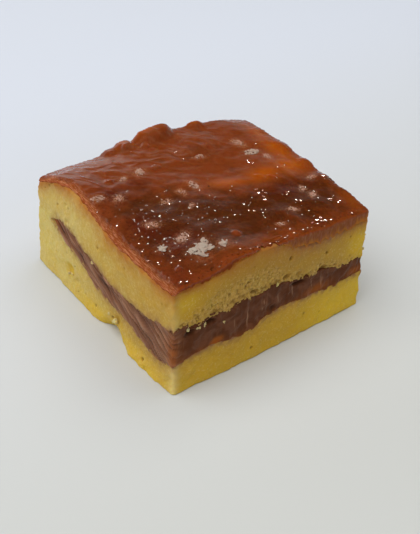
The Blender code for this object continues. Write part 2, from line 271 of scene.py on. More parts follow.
@dataclass(frozen=True)
class Outline:
    """The uneven square that the knife cut, from the underside to the top."""

    span: float = 50.0  # the nominal width and depth
    base_corners: Knots = ((0.0, -0.3), (49.6, 0.1), (52.3, 50.0), (-1.5, 51.9))
    top_corners: Knots = ((-0.4, 1.0), (49.4, 2.1), (53.2, 47.8), (-1.6, 49.5))
    top_level: float = 24.0
    corner_power: float = 70.0
    end_crowding: float = 0.4
    side_grip: float = 8.0  # how fast a side's shape dies away towards the middle, as a power
    crown: float = 1.0
    foot_height: float = 3.2
    left_foot: Line = Line(
        ((0, 0.4), (0.25, 1.1), (0.33, 0.1), (0.41, -2.2), (0.49, 0.3), (0.75, 0.5), (1, 0.5))
    )
    left_upper: Line = Line(((0, 0), (0.4, -0.2), (0.62, -0.9), (0.8, -1.2), (0.92, -0.5), (1, 0)))
    left_upper_rise: int = 4  # how fast that shape comes in upwards, as a power
    back_bow: Line = Line(((0, 0), (0.3, 1.2), (0.55, 2.3), (0.8, 1.2), (1, 0)))
    front_bow: Line = Line(((0, 0), (0.3, 0.4), (0.7, 0.2), (1, 0)))
    right_bow: Line = Line(((0, 0), (0.25, -0.4), (0.6, 0.3), (1, 0)))

    def dome(self, u: Array, v: Array) -> Array:
        """The low dome of the top, nothing at the sides."""
        return self.crown * (1 - (2 * u - 1) ** 4) * (1 - (2 * v - 1) ** 4)

    def spread(self, a: Array, b: Array) -> tuple[Array, Array]:
        """Lays points of a square from -1 to 1 out as shares of the plan.

        Args:
            a: Places across, evenly spaced.
            b: Places in depth, evenly spaced.

        Returns:
            Shares u, v from 0 to 1, closer together at the ends, with the corners rounded.
        """
        a, b = ((1 - self.end_crowding) * c + self.end_crowding * np.sin(c * np.pi / 2) for c in (a, b))
        square = np.maximum(np.maximum(abs(a), abs(b)), 1e-9)
        power = self.corner_power
        length = (abs(a / square) ** power + abs(b / square) ** power) ** (1 / power)
        return (a / length + 1) / 2, (b / length + 1) / 2

    def in_plan(self, u: Array, v: Array, z: Array) -> Array:
        """Lays places on the plain outline.

        Args:
            u: Shares of the width.
            v: Shares of the depth.
            z: Heights.

        Returns:
            One point a row.
        """
        t = np.asarray(z, float) / self.top_level
        found = []
        for k in (0, 1):
            c = [low[k] * (1 - t) + high[k] * t for low, high in zip(self.base_corners, self.top_corners)]
            found.append((c[0] * (1 - u) + c[1] * u) * (1 - v) + (c[3] * (1 - u) + c[2] * u) * v)
        return np.stack([*found, np.broadcast_to(z, found[0].shape)], axis=-1)

    def at_level(self, u: Array, v: Array, share: float = 1.0) -> Array:
        """The plain outline's points at one level, a share of the way up to the top."""
        return self.in_plan(u, v, np.full_like(u, self.top_level * share))

    def shares(self, x: Array, y: Array, rounds: int = 5) -> tuple[Array, Array]:
        """Finds the shares of the plan for places on the top.

        Args:
            x: Places across.
            y: Places in depth.
            rounds: How many times the first guess is corrected.

        Returns:
            Shares of the width and of the depth.
        """
        u, v = x / self.span, y / self.span
        for _ in range(rounds):
            found = self.at_level(u, v)
            u, v = u + (x - found[:, 0]) / self.span, v + (y - found[:, 1]) / self.span
        return u, v

    def place(self, u: Array, v: Array, z: Array, out: Array) -> Array:
        """Points of a layer's skin.

        Args:
            u: Shares of the width.
            v: Shares of the depth.
            z: Heights.
            out: How far each point stands out of its side, inwards where it is negative.

        Returns:
            One point a row.
        """
        up = z / self.top_level
        foot = np.maximum(0.0, 1 - z / self.foot_height)
        left = self.left_foot.read(v) * foot + self.left_upper.read(v) * up**self.left_upper_rise
        points = self.in_plan(u, v, z)
        for side, bow, near in (
            (Side.LEFT, left, 1 - u),
            (Side.RIGHT, self.right_bow.read(v), u),
            (Side.FRONT, self.front_bow.read(u), 1 - v),
            (Side.BACK, self.back_bow.read(u) * up, v),
        ):
            reach = (bow + out) * near**self.side_grip
            points += reach[:, None] * np.array((*side.value, 0.0))
        return points


OUTLINE = Outline()


def nearness(side: Side, u: Array, v: Array, grip: float = 40.0) -> Array:
    """1 at a side, falling fast towards the middle of the piece."""
    share = {Side.FRONT: 1 - v, Side.BACK: v, Side.LEFT: 1 - u, Side.RIGHT: u}[side]
    return share**grip


@dataclass
class Skin:
    """The points of a layer's skin, with all that its relief and its finish follow."""

    u: Array  # shares of the width
    v: Array  # shares of the depth
    low: Array  # heights of the layer's underside
    high: Array  # heights of its top
    points: Array
    front: Array = field(init=False)  # how near each point is to this side, from 0 to 1
    right: Array = field(init=False)
    back: Array = field(init=False)
    left: Array = field(init=False)

    def __post_init__(self) -> None:
        """Works out how near each point is to each side."""
        self.front, self.right, self.back, self.left = (nearness(side, self.u, self.v) for side in Side)

    @property
    def wiped(self) -> Array:
        """How near each point is to the two sides that the knife wiped clean."""
        return self.front + self.right

    @property
    def drawn(self) -> Array:
        """How near each point is to the two sides along which the knife drew the caramel."""
        return self.left + self.back


@dataclass(frozen=True)
class Patch:
    """A soft round or drawn-out spot of the top or of a side.

    Its place is (x, y) on the top, (x, z) on the front or back and (y, z) on the left or right.
    """

    x: float
    y: float
    width: float
    height: float
    strength: float = 1.0
    turn: float = 0.0  # degrees, anticlockwise
    edge: float = 2.0  # the power of its fall: 2 is soft all over, 6 has a clear edge

    def weigh(self, x: Array, y: Array) -> Array:
        """Reads the spot.

        Args:
            x: First coordinates of some places.
            y: Second coordinates.

        Returns:
            How strongly the spot is felt at each of them.
        """
        turn = math.radians(self.turn)
        across = ((x - self.x) * math.cos(turn) + (y - self.y) * math.sin(turn)) / (self.width / 2)
        along = ((y - self.y) * math.cos(turn) - (x - self.x) * math.sin(turn)) / (self.height / 2)
        return self.strength * np.exp(-(np.hypot(across, along) ** self.edge))


Patches = tuple[Patch, ...]


def strongest(patches: Patches, x: Array, y: Array) -> Array:
    """The strongest of several spots at each place."""
    return np.max([patch.weigh(x, y) for patch in patches], axis=0)


def summed(patches: Patches, x: Array, y: Array) -> Array:
    """All the spots together at each place."""
    return np.sum([patch.weigh(x, y) for patch in patches], axis=0)


class Tree:
    """A node tree that is wired up in few words."""

    def __init__(self, tree: bpy.types.NodeTree) -> None:
        """Takes over an empty tree."""
        self.tree = tree

    def node(self, kind: str, inputs: dict[str | int, Any] | None = None, **settings: Any) -> bpy.types.Node:
        """Adds a node.

        Args:
            kind: The node's type.
            inputs: For some of its sockets a plain value, or the output that feeds it.
            settings: The node's own properties.

        Returns:
            The node.
        """
        made = self.tree.nodes.new(kind)
        for key, value in settings.items():
            setattr(made, key, value)
        for key, value in (inputs or {}).items():
            if isinstance(value, bpy.types.NodeSocket):
                self.tree.links.new(value, made.inputs[key])
            else:
                made.inputs[key].default_value = value
        return made

    def out(self, kind: str, inputs: dict[str | int, Any] | None = None, **settings: Any) -> Socket:
        """The first output of a node that is added for it."""
        return self.node(kind, inputs, **settings).outputs[0]

    def math(self, operation: str, *values: Any, clamp: bool = False) -> Socket:
        """The result of a Math node on the given values or outputs."""
        return self.out("ShaderNodeMath", dict(enumerate(values)), operation=operation, use_clamp=clamp)

    def vector(self, operation: str, *values: Any) -> Socket:
        """The vector result of a Vector Math node on the given values or outputs."""
        return self.node("ShaderNodeVectorMath", dict(enumerate(values)), operation=operation).outputs[0]

    def times(self, first: Any, second: Any, clamp: bool = False) -> Socket:
        """One value or output times another."""
        return self.math("MULTIPLY", first, second, clamp=clamp)

    def plus(self, first: Any, second: Any, clamp: bool = False) -> Socket:
        """Two values or outputs together."""
        return self.math("ADD", first, second, clamp=clamp)

    def swing(self, value: Any, depth: float) -> Socket:
        """Turns what runs from 0 to 1 into what swings about 0, as deep as is said."""
        return self.math("MULTIPLY_ADD", value, depth, -depth / 2)

    def ramp(self, value: Any, low: float, high: float, to_low: float = 0.0, to_high: float = 1.0) -> Socket:
        """Maps a value smoothly from one range to another, and holds it there."""
        inputs = {0: value, 1: low, 2: high, 3: to_low, 4: to_high}
        return self.out("ShaderNodeMapRange", inputs, interpolation_type="SMOOTHSTEP")


class FinishTree(Tree):
    """A material's node tree, read in the object's own millimetres."""

    def __init__(self, name: str) -> None:
        """Makes the material with its shader and its coordinates."""
        self.material = bpy.data.materials.new(name)
        self.material.use_nodes = True
        super().__init__(self.material.node_tree)
        self.shader = self.tree.nodes["Principled BSDF"]
        place = self.node("ShaderNodeTexCoord").outputs["Object"]
        self.place = self.vector("MULTIPLY", place, (1 / MM, 1 / MM, 1 / MM))

    def painted(self, name: str) -> Socket:
        """The value that the mesh carries under this name."""
        return self.node("ShaderNodeAttribute", attribute_name=name).outputs["Fac"]

    def noise(
        self, size: float, detail: float = 2.0, stretch: Triple | None = None, distortion: float = 0.0
    ) -> Socket:
        """Noise from 0 to 1 of the given grain, which `stretch` may draw out along the axes."""
        place = self.place if stretch is None else self.vector("DIVIDE", self.place, stretch)
        inputs = {"Vector": place, "Scale": 1 / size, "Detail": detail, "Distortion": distortion}
        return self.node("ShaderNodeTexNoise", inputs).outputs["Fac"]

    def mix(self, factor: Any, first: Any, second: Any) -> Socket:
        """Blends two colours, or outputs that carry them.

        Args:
            factor: From 0, all of the first, to 1, all of the second.
            first: The first colour.
            second: The second colour.

        Returns:
            The blend.
        """
        inputs = {0: factor}
        for key, value in ((6, first), (7, second)):
            inputs[key] = (*value, 1.0) if isinstance(value, tuple) else value
        return self.node("ShaderNodeMix", inputs, data_type="RGBA").outputs[2]

    def bump(self, height: Any, distance: float) -> Socket:
        """A relief too fine for the mesh, `distance` millimetres deep."""
        return self.node("ShaderNodeBump", {"Height": height, "Distance": distance * MM}).outputs["Normal"]

    def feed(self, **inputs: Any) -> None:
        """Sets the shader's sockets.

        Args:
            inputs: Values or outputs, by the sockets' names with underscores for spaces.
        """
        for key, value in inputs.items():
            socket = self.shader.inputs[key.replace("_", " ")]
            if isinstance(value, bpy.types.NodeSocket):
                self.tree.links.new(value, socket)
            else:
                socket.default_value = value


class ShapeTree(Tree):
    """A Geometry Nodes tree with named inputs, which ends in real faces and a material."""

    KINDS: dict[type, str] = {
        float: "NodeSocketFloat",
        int: "NodeSocketInt",
        bool: "NodeSocketBool",
        str: "NodeSocketString",
    }

    def __init__(self, name: str, sizes: dict[str, Any]) -> None:
        """Makes the tree.

        Args:
            name: Its name.
            sizes: The inputs that it gets, with the values that they have unless others are given.
        """
        super().__init__(bpy.data.node_groups.new(name, "GeometryNodeTree"))
        face = self.tree.interface
        face.new_socket("Geometry", in_out="INPUT", socket_type="NodeSocketGeometry")
        face.new_socket("Geometry", in_out="OUTPUT", socket_type="NodeSocketGeometry")
        self.sizes = sizes
        self.sockets = {}
        for key, value in {**sizes, "Finish": None}.items():
            kind = self.KINDS.get(type(value), "NodeSocketMaterial")
            self.sockets[key] = face.new_socket(key, in_out="INPUT", socket_type=kind).identifier
        self.given = self.node("NodeGroupInput").outputs

    def place(self) -> Socket:
        """Each point's place."""
        return self.out("GeometryNodeInputPosition")

    def normal(self) -> Socket:
        """Each point's normal."""
        return self.out("GeometryNodeInputNormal")

    def named(self, name: Any, kind: str = "FLOAT") -> Socket:
        """The attribute that the mesh carries under this name."""
        return self.out("GeometryNodeInputNamedAttribute", {"Name": name}, data_type=kind)

    def scaled(self, length: Any, vector: Any) -> Socket:
        """A vector times a length."""
        return self.out("ShaderNodeVectorMath", {0: vector, "Scale": length}, operation="SCALE")

    def noise(self, size: Any, detail: float = 2.0) -> Socket:
        """Noise from -1 to 1 with ripples of the given size."""
        inputs = {"Vector": self.place(), "Scale": self.math("DIVIDE", 1.0, size), "Detail": detail}
        return self.swing(self.out("ShaderNodeTexNoise", inputs), 2.0)

    def cells(self, size: Any) -> bpy.types.Node:
        """Cells of the given size."""
        inputs = {"Vector": self.place(), "Scale": self.math("DIVIDE", 1.0, size)}
        return self.node("ShaderNodeTexVoronoi", inputs)

    def store(self, geometry: Any, name: str, value: Any) -> Socket:
        """Keeps a value on the mesh for its material."""
        inputs = {"Geometry": geometry, "Name": name, "Value": value}
        return self.out("GeometryNodeStoreNamedAttribute", inputs)

    def moved(self, geometry: Any, offset: Any) -> Socket:
        """Moves the points of a geometry."""
        return self.out("GeometryNodeSetPosition", {"Geometry": geometry, "Offset": offset})

    def close(self, geometry: Any) -> "ShapeTree":
        """Makes instances real, sets the material and wires the output.

        Args:
            geometry: What the tree has made.

        Returns:
            The tree.
        """
        real = self.out("GeometryNodeRealizeInstances", {"Geometry": geometry})
        inputs = {"Geometry": real, "Material": self.given["Finish"]}
        dressed = self.out("GeometryNodeSetMaterial", inputs)
        self.node("NodeGroupOutput", {0: dressed})
        return self

    def close_with_grains(self, points: Any, turn: Any, size: Any) -> "ShapeTree":
        """Puts an uneven grain at each of some points, and closes the tree.

        Args:
            points: The points.
            turn: How each grain is turned.
            size: How long it is along each of its axes.

        Returns:
            The tree.
        """
        ball = self.node("GeometryNodeMeshIcoSphere", {"Radius": 0.5, "Subdivisions": self.given["Sides"]})
        inputs = {"Points": points, "Instance": ball.outputs["Mesh"], "Rotation": turn, "Scale": size}
        placed = self.out("GeometryNodeInstanceOnPoints", inputs)
        real = self.out("GeometryNodeRealizeInstances", {"Geometry": placed})
        inputs = {"Geometry": real, "Shade Smooth": self.given["Smooth"]}
        shaded = self.out("GeometryNodeSetShadeSmooth", inputs)
        rough = self.times(self.noise(self.given["Ripple"], 3.0), self.given["Unevenness"])
        return self.close(self.moved(shaded, self.scaled(rough, self.normal())))

    def apply(self, obj: Object, finish: Material, name: str = "", **sizes: Any) -> Object:
        """Runs the tree on an object and makes the result a plain mesh.

        Args:
            obj: The object that the tree starts from. It is left without the modifier.
            finish: The material of the result.
            name: Name of a new object for the result. Without one, obj takes the new mesh.
            sizes: Inputs that differ from the tree's own.

        Returns:
            The object with the result.
        """
        modifier = obj.modifiers.new(self.tree.name, "NODES")
        modifier.node_group = self.tree
        for key, value in {**self.sizes, **sizes}.items():
            modifier[self.sockets[key]] = value
        modifier[self.sockets["Finish"]] = finish
        graph = bpy.context.evaluated_depsgraph_get()
        evaluated = obj.evaluated_get(graph)
        mesh = bpy.data.meshes.new_from_object(evaluated, preserve_all_data_layers=True, depsgraph=graph)
        obj.modifiers.clear()
        mesh.name = name or obj.name
        if name:
            return add_object(name, mesh)
        obj.data = mesh
        return obj


def crumb_relief() -> ShapeTree:
    """Grain, crumbly granules and open pores of a cut cake face.

    The mesh says where the face shows ("open") and how crumbly it is ("crumbly"). The depth of
    pores and crevices is kept for the painted shade in them.
    """
    sizes = {
        "Grain Size": 0.9 * MM,
        "Grain Depth": 0.07 * MM,
        "Granule Size": 0.58 * MM,
        "Granule Depth": 0.36 * MM,
        "Pore Spacing": 2.4 * MM,
        "Pore Width": 0.42 * MM,
        "Pore Depth": 0.4 * MM,
    }
    t = ShapeTree("crumb_relief", sizes)
    crumbly = t.named("crumbly")
    grain = t.times(t.noise(t.given["Grain Size"], 4.0), t.given["Grain Depth"])
    lumps = t.cells(t.given["Granule Size"])
    between = t.math("POWER", lumps.outputs["Distance"], 2.0)
    uneven = t.noise(t.times(t.given["Granule Size"], 0.7), 4.0)
    rise = t.math("SUBTRACT", t.times(uneven, 0.9), between)
    sunk = t.times(t.ramp(rise, -0.35, -0.75), crumbly)
    granules = t.times(t.times(rise, crumbly), t.given["Granule Depth"])
    pores = t.cells(t.given["Pore Spacing"])
    chosen = t.node("FunctionNodeSeparateColor", {0: pores.outputs["Color"]})
    width = t.times(t.given["Pore Width"], t.ramp(chosen.outputs[0], 0.5, 1.0))
    away = t.times(pores.outputs["Distance"], t.given["Pore Spacing"])
    pit = t.ramp(t.math("DIVIDE", away, t.math("MAXIMUM", width, 1e-6)), 0.35, 1.15, 1.0, 0.0)
    height = t.math("SUBTRACT", t.plus(grain, granules), t.times(pit, t.given["Pore Depth"]))
    open_height = t.times(height, t.named("open"))
    # How deep each pore and crevice lies is kept for the painted shade in them.
    kept = t.store(t.given["Geometry"], "hollow", t.math("MAXIMUM", pit, sunk))
    return t.close(t.moved(kept, t.scaled(open_height, t.normal())))


def scattered_grains() -> ShapeTree:
    """Small irregular grains strewn over a surface where the attribute named by "Where" says."""
    sizes = {
        "Where": "crumbly",
        "Density": 1e6,
        "Smallest": 0.2 * MM,
        "Largest": 0.7 * MM,
        "Flatness": 0.7,
        "Narrowness": 0.8,
        "Sunk": 0.2,
        "Unevenness": 0.16 * MM,
        "Ripple": 0.3 * MM,
        "Sides": 2,
        "Smooth": True,
        "Tilt": 0.9,
        "Seed": 1,
    }
    t = ShapeTree("scattered_grains", sizes)
    seed = t.given["Seed"]
    density = t.times(t.given["Density"], t.named(t.given["Where"]))
    inputs = {"Mesh": t.given["Geometry"], "Density": density, "Seed": seed}
    strewn = t.node("GeometryNodeDistributePointsOnFaces", inputs)
    share = t.node("FunctionNodeRandomValue", {2: 0.0, 3: 1.0, "Seed": seed})
    growth = t.math("SUBTRACT", t.given["Largest"], t.given["Smallest"])
    skewed = t.math("POWER", share.outputs[1], 2.0)  # most of the grains are small
    size = t.math("MULTIPLY_ADD", skewed, growth, t.given["Smallest"])
    flat = t.node("ShaderNodeCombineXYZ", {0: 1.0, 1: t.given["Narrowness"], 2: t.given["Flatness"]})
    limits = {0: (-1.0, -1.0, 0.0), 1: (1.0, 1.0, 6.28), "Seed": seed}
    turn = t.out("FunctionNodeRandomValue", limits, data_type="FLOAT_VECTOR")
    leaning = t.out("ShaderNodeCombineXYZ", {0: t.given["Tilt"], 1: t.given["Tilt"], 2: 1.0})
    normal = strewn.outputs["Normal"]
    down = t.times(t.given["Sunk"], t.times(size, -1.0))
    laid = t.moved(strewn.outputs["Points"], t.scaled(down, normal))
    facing = t.out("FunctionNodeAlignRotationToVector", {"Vector": normal}, axis="Z")
    inputs = {0: facing, 1: t.vector("MULTIPLY", turn, leaning)}
    spun = t.out("FunctionNodeRotateRotation", inputs, rotation_space="LOCAL")
    return t.close_with_grains(laid, spun, t.scaled(size, flat.outputs[0]))


def placed_grains() -> ShapeTree:
    """Grains at the points of a mesh, which carry each one's "grow", "turn" and "clear"."""
    sizes = {"Unevenness": 0.09 * MM, "Ripple": 0.5 * MM, "Sides": 2, "Smooth": False}
    t = ShapeTree("placed_grains", sizes)
    turn = t.out("FunctionNodeEulerToRotation", {0: t.named("turn", "FLOAT_VECTOR")})
    return t.close_with_grains(t.given["Geometry"], turn, t.named("grow", "FLOAT_VECTOR"))


@dataclass(frozen=True)
class CakeFinish:
    """Dense moist yellow crumb, deeper in front than on the left, stained by the caramel, with painted
    shade, glow and highlight.
    """

    name: str
    pale: Colour = (0.64, 0.495, 0.15)
    deep: Colour = (0.62, 0.365, 0.025)
    # A darker, duller tone: painted shade
    dull: Colour = (0.45, 0.26, 0.04)
    # A brighter, deeper yellow: partly the cake's own, partly painted glow of light through thin edges
    ripe: Colour = (0.72, 0.47, 0.03)
    # Cream flecks, and the painted highlight of the front left corner
    cream_fleck_and_highlight: Colour = (0.80, 0.65, 0.27)
    tan: Colour = (0.60, 0.375, 0.09)
    soaked: Colour = (0.41, 0.15, 0.022)
    stained: Colour = (0.28, 0.13, 0.06)
    # Painted shade in pores and crevices, and the toffee brown of burnt spots
    hollow_shade_and_toffee: Colour = (0.18, 0.078, 0.009)
    mottle_size: float = 4.0
    fine_size: float = 0.7
    granule_size: float = 0.6
    fleck_size: float = 0.4
    stain_size: float = 1.4

    def material(self) -> Material:
        """Builds the material.

        The mesh carries tone, dull, ripe, crumbly, edge, soak, stain, hollow and burnt.
        """
        t = FinishTree(self.name)
        mottle, fine = t.noise(self.mottle_size, 4.0), t.noise(self.fine_size, 3.0)
        uneven = t.plus(t.swing(mottle, 0.6), t.swing(fine, 0.5))
        colour = self.pale
        # Painted shade where the cake is dull, and a brighter yellow, partly painted glow, where it is ripe
        for name, tint in (("tone", self.deep), ("dull", self.dull), ("ripe", self.ripe)):
            colour = t.mix(t.plus(t.painted(name), uneven, clamp=True), colour, tint)
        patchy = t.ramp(t.noise(self.granule_size), 0.4, 0.6, 0.3, 1.0)
        colour = t.mix(t.times(t.painted("crumbly"), patchy), colour, self.tan)
        flecks = t.ramp(t.noise(self.fleck_size, 1.0), 0.57, 0.72, 0.0, 0.3)
        # Cream flecks, and the painted highlight of the front left corner
        colour = t.mix(t.math("MAXIMUM", flecks, t.painted("edge")), colour, self.cream_fleck_and_highlight)
        wet = t.times(t.painted("soak"), t.ramp(mottle, 0.35, 0.65, 0.8, 1.2), clamp=True)
        colour = t.mix(wet, colour, self.soaked)
        cloudy = t.ramp(t.noise(self.stain_size, 3.0), 0.35, 0.65, 0.55, 1.25)
        colour = t.mix(t.times(t.painted("stain"), cloudy, clamp=True), colour, self.stained)
        # Painted shade in pores and crevices, and the toffee brown of burnt spots
        dark = t.math("MAXIMUM", t.painted("hollow"), t.painted("burnt"))
        colour = t.mix(t.times(dark, 0.8), colour, self.hollow_shade_and_toffee)
        grain = t.plus(t.noise(0.25, 3.0), t.times(t.noise(0.8), 0.6))
        t.feed(
            Base_Color=colour,
            Roughness=t.ramp(fine, 0.3, 0.7, 0.5, 0.72),
            Normal=t.bump(grain, 0.12),
            Subsurface_Weight=0.45,
            Subsurface_Radius=(1.0, 0.6, 0.18),
            Subsurface_Scale=1.3 * MM,
            Specular_IOR_Level=0.15,
        )
        return t.material


@dataclass(frozen=True)
class FillingFinish:
    """Soft caramel: satin mauve-brown where the knife dragged it, dark and glossy at the front."""

    name: str = "filling_caramel"
    satin: Colour = (0.20, 0.082, 0.042)
    dark: Colour = (0.10, 0.030, 0.010)
    haze: Colour = (0.15, 0.055, 0.026)
    # Painted highlight on the crests of drag lines and streaks, and painted glints
    light: Colour = (0.42, 0.235, 0.14)
    # Painted glow of light through thin caramel
    ember: Colour = (0.31, 0.080, 0.008)
    # Painted shade in cracks, pockets and the grooves of drag lines
    crack: Colour = (0.030, 0.009, 0.005)

    def material(self) -> Material:
        """Builds the material. The mesh carries dragged, streak, ember and crack."""
        t = FinishTree(self.name)
        dragged = t.plus(t.painted("dragged"), t.swing(t.noise(2.5, 4.0), 0.5), clamp=True)
        front = t.mix(t.ramp(t.noise(3.0, 3.0, distortion=1.0), 0.45, 0.65), self.dark, self.haze)
        colour = t.mix(dragged, front, self.satin)
        # Painted highlights, painted glow of light through the caramel and painted shade in its cracks
        for name, tint in (("streak", self.light), ("ember", self.ember), ("crack", self.crack)):
            colour = t.mix(t.painted(name), colour, tint)
        t.feed(
            Base_Color=colour,
            Roughness=t.ramp(dragged, 0.0, 1.0, 0.35, 0.45),
            Normal=t.bump(t.noise(0.5, 3.0), 0.08),
            Subsurface_Weight=0.25,
            Subsurface_Radius=(1.0, 0.35, 0.15),
            Subsurface_Scale=1.0 * MM,
            Specular_IOR_Level=t.ramp(dragged, 0.0, 1.0, 0.05, 0.16),
        )
        return t.material


@dataclass(frozen=True)
class GlazeFinish:
    """Clear set caramel over cake: amber where it is thin, with a painted glow of light through it in
    places, red-brown, and dark where it is thick, with painted highlights along its folds.
    """

    name: str = "caramel_glaze"
    # Amber of thin glaze, also the painted glow of light shining through it
    thin: Colour = (0.345, 0.068, 0.0015)
    middle: Colour = (0.187, 0.035, 0.006)
    thick: Colour = (0.072, 0.015, 0.002)
    red: Colour = (0.08, 0.008, 0.001)
    deepest: Colour = (0.025, 0.006, 0.001)
    # Painted highlight along the crests of the folds
    fold: Colour = (0.34, 0.13, 0.06)
    smear: Colour = (0.23, 0.068, 0.018)
    frosted: Colour = (0.52, 0.245, 0.13)
    fibre: Colour = (0.45, 0.175, 0.08)
    fibre_dark: Colour = (0.24, 0.055, 0.013)
    rubbed: Colour = (0.42, 0.155, 0.025)
    mauve: Colour = (0.27, 0.10, 0.05)
    pool_size: float = 3.0
    cloud_size: float = 0.9
    pit_size: float = 0.55
    frost_size: float = 0.35
    strand_size: float = 0.17
    stroke_size: float = 0.4

    def material(self) -> Material:
        """Builds the material.

        The mesh carries thick, red, glow, sparkle, fold, frost, smear, fibre, rub and matt.
        """
        t = FinishTree(self.name)
        cloud = t.swing(t.noise(self.cloud_size, 4.0, distortion=0.6), 1.0)
        uneven = t.plus(t.swing(t.noise(self.pool_size, 5.0, distortion=0.8), 1.1), cloud)
        colour = t.mix(t.plus(t.painted("thick"), uneven, clamp=True), self.middle, self.thick)
        # Amber where the glaze is thin, and where a glow of light through it is painted
        for name, tint, depth in (("red", self.red, 0.8), ("glow", self.thin, 0.6)):
            share = t.times(t.painted(name), t.math("MULTIPLY_ADD", uneven, depth, 1.0), clamp=True)
            colour = t.mix(share, colour, tint)
        pits = t.times(t.ramp(t.noise(self.pit_size, 3.0), 0.55, 0.72), t.painted("sparkle"))
        colour = t.mix(t.times(pits, 1.3, clamp=True), colour, self.deepest)
        # Painted highlight along the crests of the folds
        colour = t.mix(t.times(t.painted("fold"), t.ramp(cloud, -0.15, 0.2)), colour, self.fold)
        grainy = t.ramp(t.noise(self.frost_size, 3.0), 0.4, 0.6, 0.1, 0.85)
        colour = t.mix(t.times(t.painted("frost"), grainy), colour, self.frosted)
        strokes = t.noise(self.stroke_size, 3.0, stretch=(1.0, 2.0, 4.0), distortion=0.8)
        smeared = t.mix(t.ramp(strokes, 0.38, 0.68), self.smear, self.mauve)
        colour = t.mix(t.painted("smear"), colour, smeared)
        strands = t.noise(self.strand_size, 3.0, stretch=(1.0, 10.0, 1.2), distortion=0.7)
        fibrous = t.mix(t.ramp(strands, 0.42, 0.66), self.fibre_dark, self.fibre)
        colour = t.mix(t.painted("fibre"), colour, fibrous)
        rub = t.ramp(t.plus(t.painted("rub"), t.times(uneven, 0.5)), 0.2, 0.9)
        colour = t.mix(rub, colour, self.rubbed)
        t.feed(
            Base_Color=colour,
            Roughness=0.5,
            Specular_IOR_Level=0.0,
            Subsurface_Weight=0.35,
            Subsurface_Radius=(1.0, 0.25, 0.06),
            Subsurface_Scale=1.5 * MM,
            Coat_Weight=t.ramp(t.painted("matt"), 0.0, 0.8, 1.0, 0.1),
            Coat_Roughness=0.15,
            Coat_IOR=1.5,
        )
        return t.material


@dataclass(frozen=True)
class SaltFinish:
    """White half-clear salt, clearer where a crystal has begun to melt into the glaze."""

    name: str = "sea_salt"
    white: Colour = (0.41, 0.335, 0.265)
    wet: Colour = (0.42, 0.20, 0.13)
    roughness: float = 0.24
    plain: bool = False  # one white throughout, for crystals that don't carry how clear they are

    def material(self) -> Material:
        """Builds the material. Each crystal carries how clear it is."""
        t = FinishTree(self.name)
        colour = (*self.white, 1.0) if self.plain else t.mix(t.painted("clear"), self.white, self.wet)
        t.feed(Base_Color=colour, Roughness=self.roughness, IOR=1.5)
        return t.material


@dataclass(frozen=True)
class FloorFinish:
    """A plain pale floor, a little cooler towards the back."""

    name: str = "floor"
    colour: Colour = (0.59, 0.60, 0.575)
    far_colour: Colour = (0.665, 0.70, 0.77)
    start: float = -70.0
    reach: float = 120.0
    roughness: float = 0.6

    def material(self) -> Material:
        """Builds the material."""
        t = FinishTree(self.name)
        far = t.node("ShaderNodeSeparateXYZ", {0: t.place}).outputs[1]
        colour = t.mix(t.ramp(far, self.start, self.reach), self.colour, self.far_colour)
        t.feed(Base_Color=colour, Roughness=self.roughness, Specular_IOR_Level=0.0)
        return t.material


